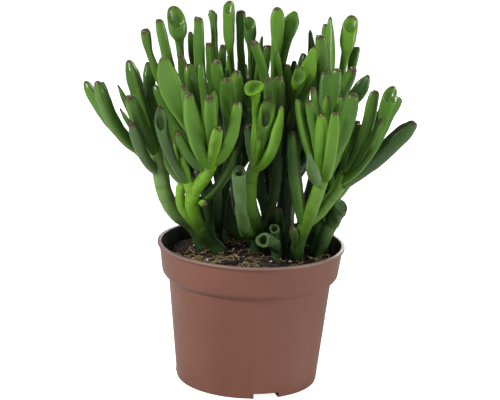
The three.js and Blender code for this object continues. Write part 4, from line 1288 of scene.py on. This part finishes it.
def stemSketch(plant, rng):
    # one loose point for each leaf, and a chain of points for each limb, with what the tree needs on them
    rows, edges = [], []
    for limb in plant["limbs"]:
        first = len(rows)
        rows += limbRows(plant, limb)
        edges += [(k, k + 1) for k in range(first, len(rows) - 1)]
    rows += [leafRow(one, rng) for one in plant["leaves"]]
    mesh = bpy.data.meshes.new(plant["name"])
    mesh.from_pydata([row["place"] for row in rows], edges, [])
    samples = {**rows[0], **rows[-1]}  # a limb's point and a leaf's
    samples.pop("place")
    for label, sample in samples.items():
        values = np.array([row.get(label, np.zeros(np.shape(sample))) for row in rows], float).ravel()
        kind, field = ("FLOAT_VECTOR", "vector") if np.ndim(sample) else ("FLOAT", "value")
        mesh.attributes.new(label, kind, "POINT").data.foreach_set(field, values)
    return mesh


leafLookSizes = {
    "sides": 24,
    "rows": 46,
    "sockets": {"Keel": 0.065, "Wobble": 0.0008, "Tip Reach": 0.0044},
    "turnRise": (0.1, 0.85),
    "grooveRise": (0.3, 0.95),
    "grooveWidth": 0.16,
    "flatRise": (0.0, 0.7),
    "slantRise": (0.55, 1.0),
    "mouthRise": (0.84, 0.92),
    "keelPhase": 6.283,
    "wobbleScale": 85.0,
    "wobbleSpread": 9.0,  # how far apart the seeds of two leaves may lie
    "wobbleRise": (0.1, 0.5, 0.4, 2.0),
    "tipSpread": (0.75, 1.45),
    "merge": 0.000002,
}


def byKind(kind, walked, key):
    tree = kind.id_data
    node = addNode(tree, "GeometryNodeIndexSwitch", data_type="FLOAT")
    while len(node.index_switch_items) < len(kindOrder):
        node.index_switch_items.new()
    tree.links.new(kind, node.inputs[0])
    for count, name in enumerate(kindOrder):
        tree.links.new(floatCurve(walked, walkCurve(name, key)), node.inputs[count + 1])
    return node.outputs[0]


def tubeAlong(curve, scale, sides, radius):
    tree = curve.id_data
    hoop = {"Resolution": sides, "Radius": radius}
    hoop = addNode(tree, "GeometryNodeCurvePrimitiveCircle", hoop, mode="RADIUS").outputs[0]
    inputs = {"Curve": curve, "Profile Curve": hoop, "Fill Caps": True, "Scale": scale}
    return addNode(tree, "GeometryNodeCurveToMesh", inputs).outputs[0]


def copied(points, instance, **placing):
    inputs = {"Points": points, "Instance": instance, **placing}
    copies = addNode(points.id_data, "GeometryNodeInstanceOnPoints", inputs).outputs[0]
    return through(copies, "RealizeInstances")


def leafGeometry(tree, given, points):
    # a grid on every leaf point, wrapped round the leaf's own spine
    sizes = leafLookSizes
    own = functools.partial(named, tree)
    extent = {"Size X": 1.0, "Size Y": 1.0, "Vertices X": sizes["sides"] + 1, "Vertices Y": sizes["rows"]}
    grid = addNode(tree, "GeometryNodeMeshGrid", extent).outputs["Mesh"]
    place = parts(position(tree))
    sheet = stored(grid, "walk", plus(place["Y"], 0.5))
    sheet = stored(sheet, "around", times(plus(place["X"], 0.5), 2 * math.pi))
    sheets = copied(addNode(tree, "GeometryNodeMeshToPoints", {"Mesh": points}).outputs[0], sheet)

    walked, around, halfWidth, chance = own("walk"), own("around"), own("halfWidth"), own("chance")
    share = calc("MINIMUM", calc("DIVIDE", walked, rimPlace), 1.0)
    kind = addNode(tree, "FunctionNodeFloatToInt", {0: own("kind")}, rounding_mode="ROUND").outputs[0]
    girth, drop = byKind(kind, walked, "girth"), byKind(kind, walked, "drop")

    # the spine's own line and way at this share of its length
    spine = [own(label, "FLOAT_VECTOR") for label in ("base", "bendLow", "bendHigh", "tip")]
    rest = minus(1.0, share)
    weights = [times(rest, rest, rest), times(rest, rest, share, 3.0), times(share, share, rest, 3.0)]
    weights.append(times(share, share, share))
    centre = plus(*map(scaled, spine, weights))
    ways = [minus(after, before) for before, after in zip(spine, spine[1:])]
    slopes = [times(rest, rest), times(rest, share, 2.0), times(share, share)]
    tangent = calc("NORMALIZE", plus(*map(scaled, ways, slopes)))
    inner = calc("NORMALIZE", calc("CROSS_PRODUCT", tangent, own("flank", "FLOAT_VECTOR")))
    turn = times(own("twist"), eased(share, *sizes["turnRise"]))
    about = {"Vector": inner, "Axis": tangent, "Angle": turn}
    out = addNode(tree, "ShaderNodeVectorRotate", about, rotation_type="AXIS_ANGLE").outputs[0]
    across = calc("CROSS_PRODUCT", tangent, out)

    # keels run up the leaf and a groove opens into its mouth
    cosine = calc("COSINE", around)
    threes = calc("COSINE", plus(times(around, 3.0), times(chance, sizes["keelPhase"])))
    grooveFall = calc("EXPONENT", calc("DIVIDE", minus(cosine, 1.0), sizes["grooveWidth"]))
    grooveDepth = times(own("groove"), eased(share, *sizes["grooveRise"]), grooveFall)
    flat = remap(eased(share, *sizes["flatRise"]), 0.0, 1.0, 1.0, own("flat"))
    reach = times(girth, halfWidth, plus(1.0, times(threes, given["Keel"])))
    thick = times(reach, flat, minus(cosine, grooveDepth))
    wide = times(reach, calc("SINE", around))

    # the open side is cut back, less so down in the mouth
    rimOpen = calc("MINIMUM", calc("DIVIDE", girth, own("rimShare")), 1.0)
    isCap = calc("GREATER_THAN", walked, rimPlace)
    openEdge = plus(times(isCap, minus(rimOpen, 1.0)), 1.0)
    openness = times(plus(times(openEdge, cosine), 1.0), 0.5)
    cutBack = times(own("slant"), eased(share, *sizes["slantRise"]), openness)
    lower = times(plus(cutBack, drop), halfWidth)
    skin = minus(plus(centre, scaled(out, thick), scaled(across, wide)), scaled(tangent, lower))
    seed = times(chance, sizes["wobbleSpread"])
    drift = jitter(skin, given["Wobble"], sizes["wobbleScale"], seed=seed)
    drift = scaled(drift, remap(share, *sizes["wobbleRise"]))
    leaves = through(sheets, "SetPosition", {"Position": plus(skin, drift)})

    # what the skin's colour goes by
    fromTip = plus(times(minus(1.0, share), own("leafLength")), calc("MAXIMUM", lower, 0.0))
    tipReach = times(given["Tip Reach"], remap(chance, 0.0, 1.0, *sizes["tipSpread"]))
    tipNear = calc("SUBTRACT", 1.0, calc("DIVIDE", fromTip, tipReach), clamp=True)
    leaves = stored(leaves, "along", share)
    leaves = stored(leaves, "tipNear", times(tipNear, own("brown")))
    # a mask for the painted shade deep in the mouth, as deep as the leaf is hollow
    leaves = stored(leaves, "mouthShade", times(eased(walked, *sizes["mouthRise"]), own("hollow")))
    # a mask along the keel crests, for their paler colour and painted highlight
    crest = remap(minus(threes, grooveFall), -1.0, 1.0)
    leaves = stored(leaves, "crest", times(crest, minus(1.0, own("bloom"))))
    return through(leaves, "MergeByDistance", {"Distance": sizes["merge"]})


def limbGeometry(tree, given, chains):
    # a tube along every chain, with rings where old leaves sat
    chain = addNode(tree, "GeometryNodeMeshToCurve", {"Mesh": chains}).outputs[0]
    runLength = addNode(tree, "GeometryNodeSplineParameter").outputs["Length"]
    beat = calc("FRACT", calc("DIVIDE", runLength, given["Scar Spacing"]))
    off = calc("DIVIDE", minus(beat, 0.5), limbLook["scarWidth"])
    ring = calc("EXPONENT", times(off, off, -1.0))
    girth = times(named(tree, "limbRadius"), plus(1.0, times(ring, given["Scar Swell"])))
    limbs = tubeAlong(stored(chain, "scar", ring), girth, limbLook["sides"], 1.0)
    lumps = jitter(position(tree), given["Lumps"], limbLook["lumpScale"], 2.0, seed=given["Seed"])
    limbs = through(limbs, "SetPosition", {"Offset": lumps})
    for label, value in limbLook["skin"].items():
        limbs = stored(limbs, label, value)
    return limbs


def makeStemTree(material):
    tree, given, result = newGeometryTree("leafyStem", {**leafLookSizes["sockets"], **limbLook["sockets"]})
    isLeaf = calc("GREATER_THAN", named(tree, "isLeaf"), 0.5)
    inputs = {"Geometry": given["Geometry"], "Selection": isLeaf}
    split = addNode(tree, "GeometryNodeSeparateGeometry", inputs, domain="POINT").outputs
    whole = addNode(tree, "GeometryNodeJoinGeometry")
    tree.links.new(leafGeometry(tree, given, split["Selection"]), whole.inputs[0])
    tree.links.new(limbGeometry(tree, given, split["Inverted"]), whole.inputs[0])
    finishTree(through(whole.outputs[0], "SetShadeSmooth"), material, result)
    return tree


def makePlants(material):
    rng = random.Random(rearLeaf["seed"])
    plants = [frontPlant(name, stem) for name, stem in stems.items()]
    plants += [rearPlant(name, *stem) for name, stem in rearStems.items()]
    settle(plants)
    tree = makeStemTree(material)
    keep = {"position", "tone", "bloom", "along", "tipNear", "mouthShade", "crest", "scar"}
    for count, plant in enumerate(plants):
        piece = addPiece("leafy_" + plant["name"], stemSketch(plant, rng))
        runTree(piece, tree, {"Seed": float(count)})
        attributes = piece.data.attributes
        for label in [one.name for one in attributes if one.domain == "POINT" and one.name not in keep]:
            attributes.remove(attributes[label])
        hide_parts(plant["name"])
        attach(piece, "root")
    print("stems grown:", len(plants))


soilSizes = {
    "level": 80,
    "edgeLevel": 77.4,
    "foot": 60,
    "middle": 70,
    "relief": 1.3,
    "broadShare": 0.6,
    "gap": 0.35,
    "rings": 60,
    "sides": 160,
    "sockets": {"Lump": 0.0016, "Seed": 2.0},
    "lumpNoise": (260.0, 4.0, 0.62),
    "lumpRise": (0.0775, 0.0782),
    "topFrom": 0.0795,
    "spread": 0.056,
    "topSlope": 0.2,
}


def soilLump(x, y):
    # broad waves crossed with finer ones
    broad = math.sin(x * 0.21 + 1.3) * math.cos(y * 0.17 - 0.4)
    fine = math.sin(x * 0.37 - y * 0.29 + 2.1)
    share = soilSizes["broadShare"]
    return soilSizes["relief"] * (share * broad + (1 - share) * fine)


def soilTree(material):
    tree, given, result = newGeometryTree("soilRelief", soilSizes["sockets"])
    place = position(tree)
    coarse = minus(noise(place, *soilSizes["lumpNoise"], seed=given["Seed"]), 0.5)
    lift = times(times(coarse, times(given["Lump"], 2.0)), remap(parts(place)["Z"], *soilSizes["lumpRise"]))
    moved = through(given["Geometry"], "SetPosition", {"Offset": upright(lift)})
    finishTree(through(moved, "SetShadeSmooth"), material, result)
    return tree


def makeSoil(material):
    sizes = soilSizes
    edge = innerRadius(sizes["level"]) - sizes["gap"]
    profile = [(0, sizes["foot"])]
    profile += [(innerRadius(height) - sizes["gap"], height) for height in (sizes["foot"], sizes["middle"])]
    profile += [(edge, sizes["edgeLevel"])]
    profile += [(edge * (1 - ring / sizes["rings"]), sizes["level"]) for ring in range(sizes["rings"] + 1)]
    soil = addPiece("soilBed", turnedMesh("soilBed", profile, sizes["sides"]))
    for vert in soil.data.vertices:
        if vert.co.z > sizes["topFrom"]:
            vert.co.z += soilLump(vert.co.x / mm, vert.co.y / mm) * mm
    runTree(soil, soilTree(material), {})
    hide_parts("soil")
    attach(soil, "root")
    print("soil laid")
    return soil


litterSizes = {
    "crumbs": {"Count": 3000, "Smallest": 0.0004, "Largest": 0.0013, "Squash": 0.7, "Sink": 0.0002,
               "Reach": 0.0545, "Subdivisions": 1, "Seed": 5},
    "clods": {"Count": 560, "Smallest": 0.0011, "Largest": 0.0024, "Squash": 0.6, "Sink": 0.0006,
              "Reach": 0.0535, "Subdivisions": 2, "Seed": 9},
    "perlite": {"Count": 64, "Smallest": 0.0004, "Largest": 0.0013, "Squash": 0.8, "Sink": 0.0,
                "Reach": 0.054, "Subdivisions": 2, "Seed": 21},
    "straw": {"Count": 130, "Smallest": 0.004, "Largest": 0.015, "Thickness": 0.00021, "Lift": 0.0042,
              "Reach": 0.0515, "Seed": 31},
    "rootlets": {"Count": 150, "Smallest": 0.005, "Largest": 0.016, "Thickness": 0.00014, "Lift": 0.003,
                 "Reach": 0.0515, "Seed": 47},
    "moss": {"Count": 60, "Smallest": 0.0015, "Largest": 0.004, "Thickness": 0.00022, "Lift": 0.0014,
             "Reach": 0.0515, "Seed": 53},
}

grainShape = {"long": 1.25, "turn": (6.28, 6.28, 6.28), "rough": (0.0012, 900.0)}

fibreShape = {
    "start": (-0.5, 0.0, -0.06),
    "middle": (0.05, 0.22, 0.16),
    "end": (0.5, -0.05, -0.04),
    "steps": 6,
    "turnLow": (-0.28, -0.2, 0.0),
    "turnHigh": (0.28, 0.2, 6.28),
    "patchScale": 45.0,
    "patches": (0.42, 0.6, 0.15, 2.2),
    "frontward": (-0.038, 0.0, 1.8, 0.35),
    "liftShare": 0.6,
    "bend": 1.6,
    "bendScale": 420.0,
    "sides": 4,
}


def soilSpots(tree, given, crowd=1.0):
    # chance places on the level top of the soil, within reach of the pot's axis
    normal = addNode(tree, "GeometryNodeInputNormal").outputs[0]
    isNear = calc("LESS_THAN", fromAxis(position(tree)), given["Reach"])
    isTop = times(calc("GREATER_THAN", parts(normal)["Z"], soilSizes["topSlope"]), isNear)
    density = times(calc("DIVIDE", given["Count"], math.pi * soilSizes["spread"] ** 2), crowd)
    inputs = {"Mesh": given["Geometry"], "Selection": isTop, "Density": density, "Seed": given["Seed"]}
    return addNode(tree, "GeometryNodeDistributePointsOnFaces", inputs).outputs["Points"]


def chanceSize(tree, given):
    inputs = {2: given["Smallest"], 3: given["Largest"], "Seed": given["Seed"]}
    return addNode(tree, "FunctionNodeRandomValue", inputs, data_type="FLOAT").outputs[1]


def chanceTurn(tree, given, low, high):
    inputs = {0: low, 1: high, "Seed": plus(given["Seed"], 7.0)}
    return addNode(tree, "FunctionNodeRandomValue", inputs, data_type="FLOAT_VECTOR").outputs[0]


def grains(tree, given):
    sunk = through(soilSpots(tree, given), "SetPosition", {"Offset": upright(times(given["Sink"], -1.0))})
    ball = addNode(tree, "GeometryNodeMeshIcoSphere", {"Radius": 1.0, "Subdivisions": given["Subdivisions"]})
    size = chanceSize(tree, given)
    extent = {"X": size, "Y": times(size, grainShape["long"]), "Z": times(size, given["Squash"])}
    extent = addNode(tree, "ShaderNodeCombineXYZ", extent).outputs[0]
    turn = chanceTurn(tree, given, (0.0, 0.0, 0.0), grainShape["turn"])
    balls = copied(sunk, ball.outputs[0], Rotation=turn, Scale=extent)
    return through(balls, "SetPosition", {"Offset": jitter(position(tree), *grainShape["rough"])})


def fibres(tree, given):
    # curved fibres lie about in patches, more of them in front than behind
    shape = fibreShape
    place = position(tree)
    patchy = remap(noise(place, shape["patchScale"], 1.0), *shape["patches"])
    spots = soilSpots(tree, given, times(patchy, remap(parts(place)["Y"], *shape["frontward"])))
    lifted = through(spots, "SetPosition", {"Offset": upright(times(given["Lift"], shape["liftShare"]))})
    ends = {"Start": shape["start"], "Middle": shape["middle"], "End": shape["end"]}
    arc = addNode(tree, "GeometryNodeCurveQuadraticBezier", {**ends, "Resolution": shape["steps"]}).outputs[0]
    turn = chanceTurn(tree, given, shape["turnLow"], shape["turnHigh"])
    arcs = copied(lifted, arc, Rotation=turn, Scale=chanceSize(tree, given))
    bend = scaled(jitter(place, given["Lift"], shape["bendScale"]), shape["bend"])
    bent = through(arcs, "SetPosition", {"Offset": bend})
    return tubeAlong(bent, 1.0, shape["sides"], given["Thickness"])


def strew(name, grow, soil, material):
    tree, given, result = newGeometryTree(name, litterSizes[name])
    finishTree(grow(tree, given), material, result)
    piece = addPiece(name, soil.data.copy())
    runTree(piece, tree, {})
    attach(piece, "root")
    print(name, "strewn:", len(piece.data.polygons))


makeCamera()
makeStage()
mottleGroup = makeMottleGroup()
makePot(makePotMaterial(mottleGroup))
soilMaterials = {name: makeSoilMaterial(mottleGroup, name) for name in soilLook}
soilPiece = makeSoil(soilMaterials["soilEarth"])
strew("crumbs", grains, soilPiece, soilMaterials["soilCrumb"])
strew("clods", grains, soilPiece, soilMaterials["soilCrumb"])
strew("perlite", grains, soilPiece, soilMaterials["perliteGrain"])
strew("straw", fibres, soilPiece, soilMaterials["strawFibre"])
strew("rootlets", fibres, soilPiece, soilMaterials["rootletFibre"])
strew("moss", fibres, soilPiece, soilMaterials["mossBit"])
makePlants(makeLeafMaterial(mottleGroup))
